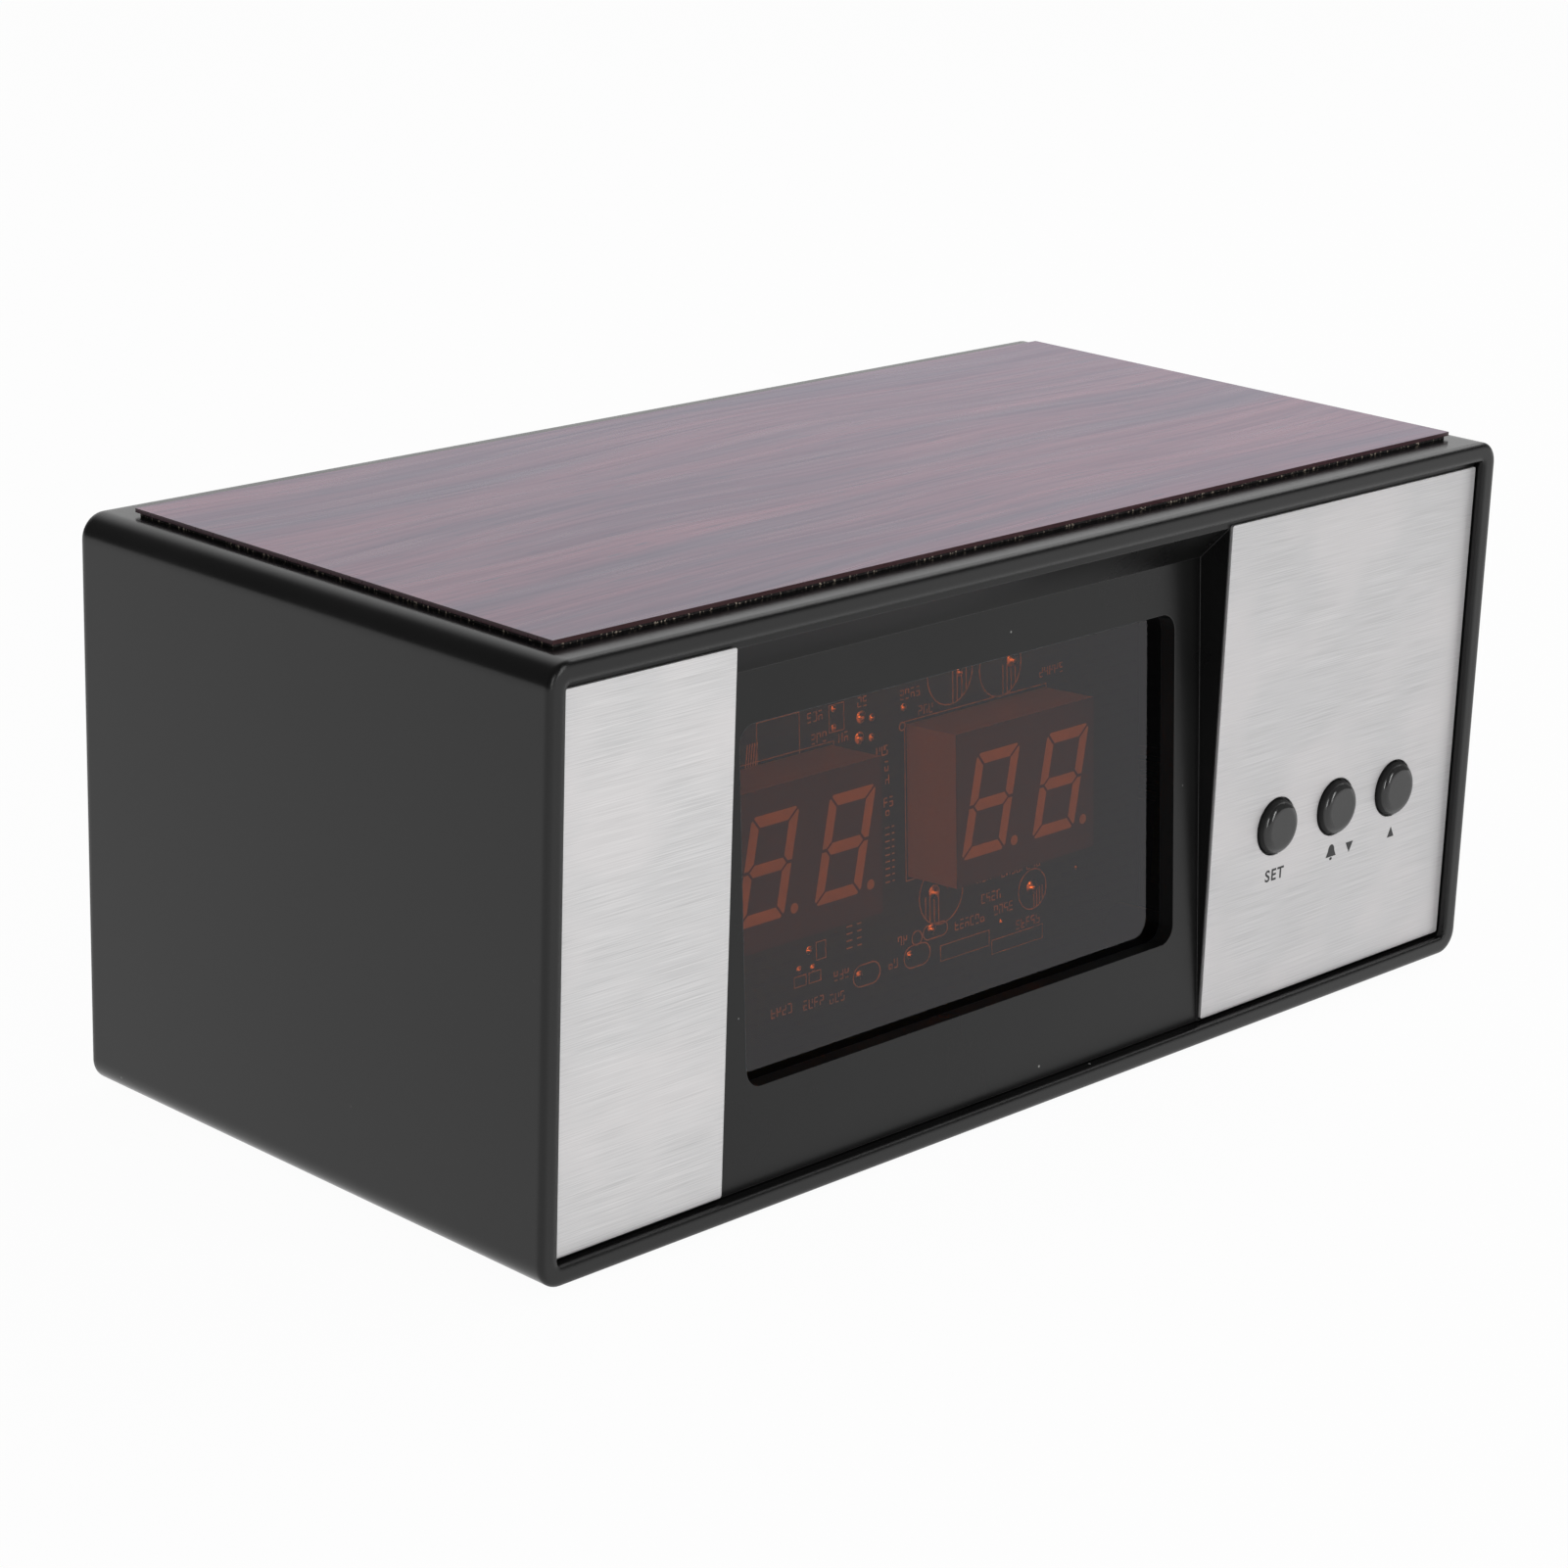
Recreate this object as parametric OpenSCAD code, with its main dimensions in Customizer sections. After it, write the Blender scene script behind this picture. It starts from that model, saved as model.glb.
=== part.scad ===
// Desk clock: a black sleeve with a tilted display window, brushed front plates and a wood-grain top sheet.
// Millimetres. +Z is up, the front faces -Y, and the origin is on the floor under the middle of the clock.

/* [Case] */
// outside width of the sleeve
case_w = 165; // [160:1:190]
// depth of the sleeve, front edge to rear edge
case_d = 80; // [74:1:110]
// height of the sleeve without its feet and top sheet
case_h = 70; // [68:1:84]
// wall thickness of the sleeve
case_wall = 2.3; // [1.8:0.1:2.8]
// radius of the sleeve's long outer edges
edge_r = 3; // [2.8:0.1:5]
// radius of the sleeve's front and rear outer edges
rim_r = 0.5; // [0.4:0.1:1.5]
// how far a rubber foot stands below the sleeve
foot_out = 0.8; // [0.5:0.1:2]
// diameter of a rubber foot
foot_d = 9; // [6:0.5:14]

/* [Top sheet] */
// distance from the sleeve's sides to the wood-grain sheet
sheet_inset = 4.5; // [3.5:0.5:12]
// thickness of the wood-grain sheet
sheet_t = 0.5; // [0.4:0.1:1.5]
// thickness of the pad that lifts the sheet
pad_t = 0.4; // [0.3:0.1:1.5]
// how far the sheet reaches past its pad
sheet_overhang = 0.4; // [0.3:0.1:2]

/* [Front] */
// how far the sleeve's rim stands in front of the metal plates
rim_out = 1.2; // [0.8:0.1:2]
// thickness of a metal plate
plate_t = 0.4; // [0.3:0.1:1]
// width of the left plate
left_plate_w = 25.6; // [20:0.1:27]
// width of the right plate, which carries the buttons
right_plate_w = 49.8; // [48:0.1:52]
// wall thickness of the bezel
bezel_t = 2; // [1.6:0.1:2.4]
// lean of the middle panel, backwards at its top
tilt = 4; // [2:0.5:6]
// height at which the middle panel is level with the plate seats
level_h = 0.5; // [0:0.5:6]
// distance from the top of the sleeve down to the top of the middle panel
ceiling_drop = 8.2; // [7.4:0.1:9]
// black ledge left bare beside each plate
ledge = 0.1; // [0.1:0.1:1]

/* [Window] */
// panel left of and right of the window
window_side = 4.8; // [3.6:0.1:6]
// panel below the window
window_below = 11.5; // [9:0.1:12]
// panel above the window
window_above = 6.1; // [5:0.1:8]
// corner radius of the window
window_r = 2.3; // [1.5:0.1:4]
// depth of the lens behind the panel's back
lens_back = 0.2; // [0.1:0.1:1.5]
// thickness of the lens
lens_t = 2; // [1:0.1:2.4]

/* [Display] */
// depth of the digit faces behind the panel's face
digit_depth = 9; // [7.8:0.1:10]
// height of a digit
digit_h = 12.7; // [10:0.1:14.2]
// width of a digit
digit_w = 7.7; // [6:0.05:8]
// lean of a digit
digit_slant = 13; // [5:0.5:13]
// width of a digit's bars
bar_w = 1.4; // [0.8:0.1:1.6]
// gap between two bars
bar_gap = 0.28; // [0.2:0.02:0.4]
// distance from the middle of one digit pair to the other's
pair_pitch = 37.92; // [34:0.02:40]

/* [Buttons] */
// diameter of a button cap
button_d = 7.1; // [6:0.1:8]
// distance between neighbouring buttons
button_pitch = 12.2; // [11.5:0.1:13]
// height of the buttons above the sleeve's underside
button_h = 25.6; // [22:0.2:28]
// radius of a cap's front edge
button_edge_r = 1.2; // [0.4:0.1:1.4]
// press travel of a button
button_travel = 0.5; // [0.2:0.05:0.6]

/* [Rear] */
// how far the rear cover is set in from the sleeve's rear edge
cover_in = 2; // [1.8:0.1:4]
// thickness of the rear cover
cover_t = 2; // [1.6:0.1:3]
// sideways place of the power inlet
jack_x = -30; // [-34:1:-24]
// number of sound slots in the rear cover
slot_count = 6; // [3:1:7]

/* [Hidden] */
$fn = 48;
eps = 0.05;
// assembly gap between a moulding and the opening that it drops into
fit_gap = 0.15;
// visible gap beside the metal plates and round the buttons, and the mean gap above and below the plates
plate_gap = 0.3;
plate_margin = 0.8;
// how far the plates sit below the middle of the sleeve
plate_drop = 0.3;
// sliding fit of a cap in its guide
button_fit = 0.06;
// gap between a retained cap and the back of its guide
rest_gap = 0.3;
// play of a screw shank in its pilot hole, and in the sheet that it clamps
pilot_play = 0.05;
screw_play = 0.4;

inner_w = case_w - 2 * case_wall;
inner_h = case_h - 2 * case_wall;
inner_r = edge_r - case_wall * 0.9;
half_w = inner_w / 2;
mid_h = foot_out + case_h / 2;
floor_h = foot_out + case_wall;
roof_h = foot_out + case_h - case_wall;
case_top = foot_out + case_h;
front_y = -case_d / 2;
rear_y = case_d / 2;

sheet_w = case_w - 2 * sheet_inset;
sheet_d = case_d - 2 * sheet_inset;

foot_in = 0.8;
foot_inset = 15;
foot_chamfer = 0.3;
foot_x = case_w / 2 - foot_inset;
foot_y = case_d / 2 - foot_inset;

plate_y = front_y + rim_out;
seat_y = plate_y + plate_t;
flat_back_y = seat_y + bezel_t;
plate_h = inner_h - 2 * plate_margin;
plate_z = mid_h - plate_drop;
plate_corner_r = 0.3;
left_edge = -half_w + plate_gap + left_plate_w;
right_edge = half_w - plate_gap - right_plate_w;
recess_x0 = left_edge + ledge;
recess_x1 = right_edge - ledge;
recess_w = recess_x1 - recess_x0;
mid_x = (recess_x0 + recess_x1) / 2;
stop_w = 12;
stop_h = 2.5;
stop_d = 3;
stop_x = half_w - stop_w;

// the middle panel leans about the line where it is level with the plate seats
panel_lo = floor_h + fit_gap;
panel_hi = case_top - ceiling_drop;
panel_top = roof_h - fit_gap;
lip_t = 1.25;
lip_h = panel_top - lip_t;
// where the ceiling's back meets the panel's back
knee_rise = 0.8;
knee_h = panel_hi + knee_rise;
knee_y = face_y(panel_hi) + bezel_t * 1.1;
window_v = (panel_hi - panel_lo) / cos(tilt) - window_below - window_above;
window_w = recess_w - 2 * window_side;
window_h = panel_lo + (window_below + window_v / 2) * cos(tilt);
window_y = face_y(window_h);
lens_lap = 2.6;
lens_depth = bezel_t + lens_back;
lens_w = window_w + 2 * lens_lap;
lens_v = window_v + 2 * lens_lap;

pair_w = 25;
pair_v = 19;
pair_t = 8;
pair_rise = 0.7;
digit_step = 12.7;
digit_rise = 0.1;
bar_chamfer = 0.3;
bar_t = 0.8;
point_x = 4.15;
point_d = 1.25;
pin_d = 0.5;
pin_hole_d = 0.9;
pin_step = 2.54;
pin_row = 7.62;
pin_out = 1.6;

board_t = 1.6;
board_depth = digit_depth + pair_t;
board_back = board_depth + board_t;
post_d = 6;
post_gap = 0.6;
post_x = recess_w / 2 + post_d / 2 + post_gap;
post_clear = 0.4;
post_v = window_v / 2 + lens_lap + post_clear;
board_edge = 4;
board_w = 2 * (post_x + board_edge);
board_v = 2 * (post_v + board_edge);
board_screw_d = 2.4;
board_screw_l = 8;
board_head_d = 5;
board_head_t = 1.6;

button_shift = 0.1;
button_x = half_w - plate_gap - right_plate_w / 2 + button_shift;
button_z = foot_out + button_h;
guide_t = 1.5;
guide_wall = 1.6;
guide_back_y = flat_back_y + guide_t;
flange_t = 1.2;
flange_lap = 1.1;
flange_y = guide_back_y + rest_gap;
cap_back_y = flange_y + flange_t;
plunger_d = 3.5;
plunger_spare = 0.5;
plunger_in = 1;
plunger_out = button_travel + 2 * plunger_spare;
switch_y = cap_back_y + plunger_out;
switch_w = 6.2;
switch_t = 3.5;
switch_bore = plunger_in + button_travel + plunger_spare;
plunger_fit = 0.1;
keyboard_y = switch_y + switch_t;
keyboard_back_y = keyboard_y + board_t;
key_post_d = 5.2;
key_post_x = button_pitch + button_d / 2 + flange_lap + post_gap + key_post_d / 2;
key_edge = 3;
keyboard_w = 2 * (key_post_x + key_edge);
keyboard_h = 16;
key_screw_d = 2;
key_screw_l = 6;
key_head_d = 4.2;
key_head_t = 1.4;

cover_back_y = rear_y - cover_in;
cover_y = cover_back_y - cover_t;
boss_d = 7;
boss_l = 14;
boss_inset = 6;
boss_x = half_w - boss_inset;
boss_z = inner_h / 2 - boss_inset;
rib_t = 2;
cover_screw_d = 2.4;
cover_screw_l = 11;
cover_head_d = 5.5;
cover_head_t = 1.6;

header_depth = 5;
header_t = 4;
power_x = -38;
power_v = -12;
power_pitch = 2.5;
power_wire_d = 1.6;
power_hole_d = 2.2;
wire_in = 2.3;
wire_hole_l = 2.8;
power_plug_h = 7;
power_bend_r = 6;
power_turn_y = 8;
jack_z = spot_z(power_v, board_back + header_depth - wire_in / 2);
jack_d = 7.8;
jack_bore_d = 6;
jack_depth = 8;
jack_floor_t = 2;
jack_flange_d = 11;
jack_flange_t = 1.4;
jack_floor_y = cover_back_y - jack_depth;
jack_back_y = jack_floor_y - jack_floor_t;
jack_pin_d = 2;
nut_d = 12.6;
nut_t = 2.5;
tab_l = 4;
tab_w = 1.8;
tab_t = 0.5;
tab_end_y = jack_back_y - tab_l;

cable_d = 1.2;
cable_hole_d = 1.7;
cable_pitch = 2;
cable_count = 4;
cable_bend_r = 5;
cable_shift = 7.6;
cable_spot = 37.9;
cable_loop = 17;
cable_x0 = button_x - cable_shift;
cable_x1 = mid_x + cable_spot;
cable_plug_h = 9.2;
cable_plug_d = 4;
cable_turn_y = keyboard_back_y + cable_loop;
cable_v = (button_z - window_h + (board_back + cable_plug_d) * sin(tilt)) / cos(tilt);

slot_w = 1.6;
slot_l = 14;
slot_step = 4;
slot_rise = 8;
slot_z = mid_h + slot_rise;

// parts on the back of the display board: their places are x and v in the leaning frame
chip_spot = [-14, -16];
chip_size = [25.6, 6.4, 3.3];
chip_lift = 0.5;
leg_count = 10;
leg_w = 1.2;
leg_t = 0.3;
leg_out = 0.9;
can_spots = [[13.4, 15.2], [24, 14.5], [12.1, -12.6], [28.9, -15.6]];
can_d = 8;
can_l = 12;
groove = 0.5;
groove_l = 1.6;
groove_w = 1;
resistor_count = 8;
resistor_d = 2.3;
resistor_l = 6.3;
resistor_lead = 0.6;
resistor_span = 10.2;
resistor_lift = 0.3;
transistor_spots = [-16, -10, -4, 2];
transistor_v = 19;
transistor_d = 4.8;
transistor_flat = 0.78;
transistor_l = 4.6;
transistor_lift = 2.5;
lead_step = 1.27;
crystal_spot = [6, -23];
crystal_size = [10.8, 4.4, 3.5];
crystal_r = 2.1;
cell_spot = [-36, 13];
cell_d = 12.5;
cell_t = 2;
holder_d = 15.6;
holder_t = 3.6;
holder_floor = 1;
strap_w = 3.6;
strap_t = 0.4;
dimple_d = 2.6;
buzzer_spot = [37, 7];
buzzer_d = 12;
buzzer_l = 9.5;
buzzer_hole_d = 2.4;
buzzer_hole_l = 2;

black = [0.16, 0.16, 0.165];
metal = [0.8, 0.8, 0.82];

// height on the leaning panel gives its depth
function face_y(h) = seat_y + (h - foot_out - level_h) * tan(tilt);
// place of a point of the leaning frame: v up along the panel, d inwards from its face
function spot_y(v, d) = window_y + v * sin(tilt) + d * cos(tilt);
function spot_z(v, d) = window_h + v * cos(tilt) - d * sin(tilt);
// a digit's corner, leaned to the right at its top
function lean(p) = [p[0] + p[1] * tan(digit_slant), p[1]];
// depth in the leaning frame at which the plate seats end, at height v
function seat_depth(v) = (flat_back_y - spot_y(v, 0)) / cos(tilt);

module rounded(w, h, r) {
  square([w - 2 * r, h], center = true);
  square([w, h - 2 * r], center = true);
  for (sx = [-1, 1], sz = [-1, 1])
    translate([sx * (w / 2 - r), sz * (h / 2 - r)])
      circle(r = r);
}

// a flat shape in X and Z, drawn out from y0 to y1
module along_y(y0, y1) {
  translate([0, y1, 0])
    rotate([90, 0, 0])
      linear_extrude(y1 - y0)
        children();
}

// a flat shape in Y and Z, drawn out from x0 to x1
module along_x(x0, x1) {
  translate([x0, 0, 0])
    rotate([90, 0, 90])
      linear_extrude(x1 - x0)
        children();
}

// a round bar along Y
module rod(d, y0, y1) {
  along_y(y0, y1)
    circle(d = d);
}

// the frame of the leaning panel, with its origin in the middle of the window
module on_panel() {
  translate([mid_x, window_y, window_h])
    rotate([-tilt, 0, 0])
      children();
}

module at_posts() {
  for (sx = [-1, 1], sv = [-1, 1])
    translate([sx * post_x, 0, sv * post_v])
      children();
}

module at_bosses() {
  for (sx = [-1, 1], sz = [-1, 1])
    translate([sx * boss_x, 0, mid_h + sz * boss_z])
      children();
}

module at_key_posts() {
  for (sx = [-1, 1])
    translate([button_x + sx * key_post_x, 0, button_z])
      children();
}

// place of button i, counted from -1 on the left to 1 on the right
module at_button(i) {
  translate([button_x + i * button_pitch, 0, button_z])
    children();
}

module at_feet() {
  for (sx = [-1, 1], sy = [-1, 1])
    translate([sx * foot_x, sy * foot_y, 0])
      children();
}

// a cross-head screw along Y, with its head behind y = 0
module screw(head_d, head_t, shank_d, length) {
  slot_side = head_d * 0.6;
  slot_cut = 0.8;
  slot_deep = head_t * 0.6;
  difference() {
    union() {
      rod(head_d, 0, head_t);
      rod(shank_d, -length, eps);
    }
    for (a = [0, 90])
      rotate([0, a, 0])
        translate([-slot_side / 2, head_t - slot_deep, -slot_cut / 2])
          cube([slot_side, slot_deep + eps, slot_cut]);
  }
}

// a strip from the middle out to reach, rounded at its front and rear
module half_section(reach) {
  translate([0, front_y])
    square([reach - rim_r, case_d]);
  translate([0, front_y + rim_r])
    square([reach, case_d - 2 * rim_r]);
  for (y = [front_y + rim_r, rear_y - rim_r])
    translate([reach - rim_r, y])
      circle(r = rim_r);
}

module full_section(reach) {
  half_section(reach);
  mirror([1, 0])
    half_section(reach);
}

// the solid outside shape of the sleeve
module sleeve_block() {
  post_sx = case_w / 2 - edge_r;
  post_sz = case_h / 2 - edge_r;
  union() {
    translate([0, 0, -post_sz])
      linear_extrude(2 * post_sz)
        full_section(case_w / 2);
    rotate([0, -90, 0])
      translate([0, 0, -post_sx])
        linear_extrude(2 * post_sx)
          full_section(case_h / 2);
    for (sx = [-1, 1], sz = [-1, 1])
      translate([sx * post_sx, 0, sz * post_sz])
        rotate([-90, 0, 0])
          rotate_extrude()
            half_section(edge_r);
  }
}

// the sleeve, with stops for the bezel, bosses for the rear cover and pockets for the feet
module case_shell() {
  color(black)
    difference() {
      union() {
        translate([0, 0, mid_h])
          difference() {
            sleeve_block();
            along_y(front_y - eps, rear_y + eps)
              rounded(inner_w, inner_h, inner_r);
          }
        for (sx = [-1, 1], z = [floor_h - eps, roof_h - stop_h])
          translate([sx * stop_x - stop_w / 2, flat_back_y, z])
            cube([stop_w, stop_d, stop_h + eps]);
        at_bosses()
          rod(boss_d, cover_y - boss_l, cover_y);
        for (sx = [0, 1], sz = [-1, 1])
          mirror([sx, 0, 0])
            translate([boss_x, cover_y - boss_l, mid_h + sz * boss_z - rib_t / 2])
              cube([boss_inset + eps, boss_l, rib_t]);
      }
      at_bosses()
        rod(cover_screw_d + 2 * pilot_play, cover_y - cover_screw_l, cover_y + eps);
      at_feet()
        translate([0, 0, foot_out - eps])
          cylinder(d = foot_d + 2 * fit_gap, h = foot_in + eps);
    }
}

// the panel that closes the back, with the inlet hole and sound slots
module rear_cover() {
  slot_span = (slot_count - 1) * slot_step;
  color(black)
    difference() {
      translate([0, 0, mid_h])
        along_y(cover_y, cover_back_y)
          rounded(inner_w - 2 * fit_gap, inner_h - 2 * fit_gap, inner_r);
      at_bosses()
        rod(cover_screw_d + 2 * screw_play, cover_y - eps, cover_back_y + eps);
      translate([jack_x, 0, jack_z])
        rod(jack_d + 2 * fit_gap, cover_y - eps, cover_back_y + eps);
      for (i = [0 : slot_count - 1])
        translate([cable_x1 + i * slot_step - slot_span / 2, 0, slot_z])
          along_y(cover_y - eps, cover_back_y + eps)
            rounded(slot_w, slot_l, slot_w * 0.45);
    }
}

module rear_cover_screws() {
  color(metal)
    at_bosses()
      translate([0, cover_back_y, 0])
        screw(cover_head_d, cover_head_t, cover_screw_d, cover_screw_l);
}

module rubber_feet() {
  color([0.09, 0.09, 0.09])
    at_feet()
      union() {
        cylinder(d1 = foot_d - 2 * foot_chamfer, d2 = foot_d, h = foot_chamfer);
        translate([0, 0, foot_chamfer])
          cylinder(d = foot_d, h = foot_out + foot_in - foot_chamfer);
      }
}

// the black pad that bonds the wood-grain sheet to the sleeve
module panel_pad() {
  pad_w = sheet_w - 2 * sheet_overhang;
  pad_d = sheet_d - 2 * sheet_overhang;
  color([0.07, 0.07, 0.07])
    translate([-pad_w / 2, -pad_d / 2, case_top])
      cube([pad_w, pad_d, pad_t]);
}

module wood_top_panel() {
  color([0.28, 0.13, 0.12])
    translate([-sheet_w / 2, -sheet_d / 2, case_top + pad_t])
      cube([sheet_w, sheet_d, sheet_t]);
}

// side view of the leaning panel with the sloped ceiling above it
module panel_side() {
  polygon([
    [face_y(panel_lo), panel_lo],
    [face_y(panel_hi), panel_hi],
    [seat_y, lip_h],
    [seat_y, panel_top],
    [flat_back_y, panel_top],
    [knee_y, knee_h],
    [face_y(panel_lo) + bezel_t, panel_lo]
  ]);
}

// side view of a wall that joins the leaning panel to a plate seat
module cheek_side() {
  polygon([
    [seat_y, panel_lo],
    [seat_y, panel_top],
    [flat_back_y, panel_top],
    [knee_y, knee_h],
    [flat_back_y, panel_lo]
  ]);
}

// the front moulding: two plate seats, the leaning panel, the lens frame, posts and button guides
module front_bezel() {
  color(black)
    difference() {
      intersection() {
        union() {
          along_y(seat_y, flat_back_y)
            translate([-half_w, floor_h])
              square([half_w + recess_x0, inner_h]);
          along_y(seat_y, flat_back_y)
            translate([recess_x1, floor_h])
              square([half_w - recess_x1, inner_h]);
          along_x(recess_x0, recess_x1)
            panel_side();
          along_x(recess_x0 - bezel_t, recess_x1 + bezel_t)
            intersection() {
              panel_side();
              cheek_side();
            }
          along_x(recess_x0 - bezel_t, recess_x0)
            cheek_side();
          along_x(recess_x1, recess_x1 + bezel_t)
            cheek_side();
          on_panel()
            along_y(bezel_t / 2, lens_depth)
              rounded(lens_w, lens_v, window_r);
          for (sx = [-1, 1], sv = [-1, 1])
            on_panel()
              translate([sx * post_x, 0, sv * post_v])
                rod(post_d, seat_depth(sv * post_v) - bezel_t / 2, board_depth);
          for (i = [-1 : 1])
            at_button(i)
              rod(button_d + 2 * guide_wall, seat_y + eps, guide_back_y);
          at_key_posts()
            rod(key_post_d, seat_y + eps, keyboard_y);
        }
        translate([0, 0, mid_h])
          along_y(front_y, rear_y)
            rounded(inner_w - 2 * fit_gap, inner_h - 2 * fit_gap, inner_r);
      }
      on_panel()
        along_y(-case_d / 4, lens_depth + eps)
          rounded(window_w, window_v, window_r);
      on_panel()
        at_posts()
          rod(board_screw_d + 2 * pilot_play, board_depth - board_screw_l, board_depth + eps);
      for (i = [-1 : 1])
        at_button(i)
          rod(button_d + 2 * button_fit, front_y, guide_back_y + eps);
      at_key_posts()
        rod(key_screw_d + 2 * pilot_play, keyboard_y - key_screw_l, keyboard_y + eps);
    }
}

module left_plate() {
  color(metal)
    translate([left_edge - left_plate_w / 2, 0, plate_z])
      along_y(plate_y, seat_y)
        rounded(left_plate_w, plate_h, plate_corner_r);
}

module right_plate() {
  color(metal)
    difference() {
      translate([right_edge + right_plate_w / 2, 0, plate_z])
        along_y(plate_y, seat_y)
          rounded(right_plate_w, plate_h, plate_corner_r);
      for (i = [-1 : 1])
        at_button(i)
          rod(button_d + 2 * plate_gap, plate_y - eps, seat_y + eps);
    }
}

module window_lens() {
  color([0.25, 0.2, 0.2, 0.6])
    on_panel()
      along_y(lens_depth, lens_depth + lens_t)
        rounded(lens_w, lens_v, window_r);
}

// pin places of both digit pairs
module at_pins() {
  for (pair = [-1, 1], row = [-1, 1], i = [-2 : 2])
    translate([pair * pair_pitch / 2 + i * pin_step, 0, pair_rise + row * pin_row])
      children();
}

module display_board() {
  color([0.05, 0.22, 0.12])
    on_panel()
      difference() {
        along_y(board_depth, board_back)
          square([board_w, board_v], center = true);
        at_posts()
          rod(board_screw_d + 2 * screw_play, board_depth - eps, board_back + eps);
        at_pins()
          rod(pin_hole_d, board_depth - eps, board_back + eps);
      }
}

module display_board_screws() {
  color(metal)
    on_panel()
      at_posts()
        translate([0, board_back, 0])
          screw(board_head_d, board_head_t, board_screw_d, board_screw_l);
}

// one level bar of a digit at its top (side 1) or bottom (side -1)
module end_bar(side) {
  hw = digit_w / 2;
  hh = digit_h / 2;
  g = bar_gap * 0.7;
  far = hw - 2 * bar_chamfer;
  cut = hw - bar_chamfer - g / 2;
  near = hw - bar_w - g;
  polygon([
    lean([-far, side * hh]),
    lean([far, side * hh]),
    lean([cut, side * (hh - bar_chamfer + g / 2)]),
    lean([near, side * (hh - bar_w)]),
    lean([-near, side * (hh - bar_w)]),
    lean([-cut, side * (hh - bar_chamfer + g / 2)])
  ]);
}

// one upright bar of a digit, right or left (sx) and upper or lower (sv)
module side_bar(sx, sv) {
  hw = digit_w / 2;
  hh = digit_h / 2;
  g = bar_gap * 0.7;
  polygon([
    lean([sx * (hw - bar_chamfer + g / 2), sv * (hh - bar_chamfer - g / 2)]),
    lean([sx * hw, sv * (hh - 2 * bar_chamfer)]),
    lean([sx * hw, sv * g]),
    lean([sx * (hw - bar_w / 2), sv * g]),
    lean([sx * (hw - bar_w), sv * (bar_w / 2 + g)]),
    lean([sx * (hw - bar_w), sv * (hh - bar_w - g)])
  ]);
}

module middle_bar() {
  g = bar_gap * 0.7;
  tip = digit_w / 2 - bar_w / 2 - g;
  near = digit_w / 2 - bar_w - g;
  polygon([
    lean([-tip, 0]),
    lean([-near, bar_w / 2]),
    lean([near, bar_w / 2]),
    lean([tip, 0]),
    lean([near, -bar_w / 2]),
    lean([-near, -bar_w / 2])
  ]);
}

// the lit bars and point of one digit
module digit_bars() {
  for (side = [-1, 1])
    along_y(digit_depth, digit_depth + bar_t)
      end_bar(side);
  for (sx = [-1, 1], sv = [-1, 1])
    along_y(digit_depth, digit_depth + bar_t)
      side_bar(sx, sv);
  along_y(digit_depth, digit_depth + bar_t)
    middle_bar();
  translate([point_x, 0, point_d / 2 - digit_h / 2])
    rod(point_d, digit_depth, digit_depth + bar_t);
}

// the bars of a digit pair, left pair (-1) or right pair (1)
module pair_bars(pair) {
  on_panel()
    for (i = [-1, 1])
      translate([pair * pair_pitch / 2 + i * digit_step / 2, 0, pair_rise + digit_rise])
        digit_bars();
}

// the moulded block of a digit pair, with pockets for its bars
module pair_block(pair) {
  difference() {
    on_panel()
      translate([pair * pair_pitch / 2, 0, pair_rise])
        along_y(digit_depth, board_depth)
          square([pair_w, pair_v], center = true);
    pair_bars(pair);
  }
}

module hour_display() {
  color([0.2, 0.16, 0.16])
    pair_block(-1);
}

module minute_display() {
  color([0.2, 0.16, 0.16])
    pair_block(1);
}

module hour_segments() {
  color([0.75, 0.35, 0.25])
    pair_bars(-1);
}

module minute_segments() {
  color([0.75, 0.35, 0.25])
    pair_bars(1);
}

module display_pins() {
  color(metal)
    on_panel()
      at_pins()
        rod(pin_d, board_depth, board_back + pin_out);
}

module clock_chip() {
  color([0.1, 0.1, 0.1])
    on_panel()
      translate([chip_spot[0], 0, chip_spot[1]])
        along_y(board_back + chip_lift, board_back + chip_lift + chip_size[2])
          square([chip_size[0], chip_size[1]], center = true);
}

module chip_legs() {
  leg_y = board_back + chip_lift + chip_size[2] / 2;
  color(metal)
    on_panel()
      translate([chip_spot[0], 0, chip_spot[1]])
        for (flip = [0, 1], i = [0 : leg_count - 1])
          mirror([0, 0, flip])
            translate([(i - (leg_count - 1) / 2) * pin_step - leg_w / 2, 0, chip_size[1] / 2])
              union() {
                translate([0, leg_y - leg_t / 2, 0])
                  cube([leg_w, leg_t, leg_out]);
                translate([0, board_back, leg_out - leg_t])
                  cube([leg_w, leg_y + leg_t / 2 - board_back, leg_t]);
              }
}

// four smoothing capacitors with a rolled groove near the board
module capacitors() {
  color([0.1, 0.12, 0.3])
    on_panel()
      for (p = can_spots)
        translate([p[0], 0, p[1]])
          union() {
            rod(can_d, board_back, board_back + groove_l);
            rod(can_d - 2 * groove, board_back + groove_l, board_back + groove_l + groove_w);
            rod(can_d, board_back + groove_l + groove_w, board_back + can_l);
          }
}

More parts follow.
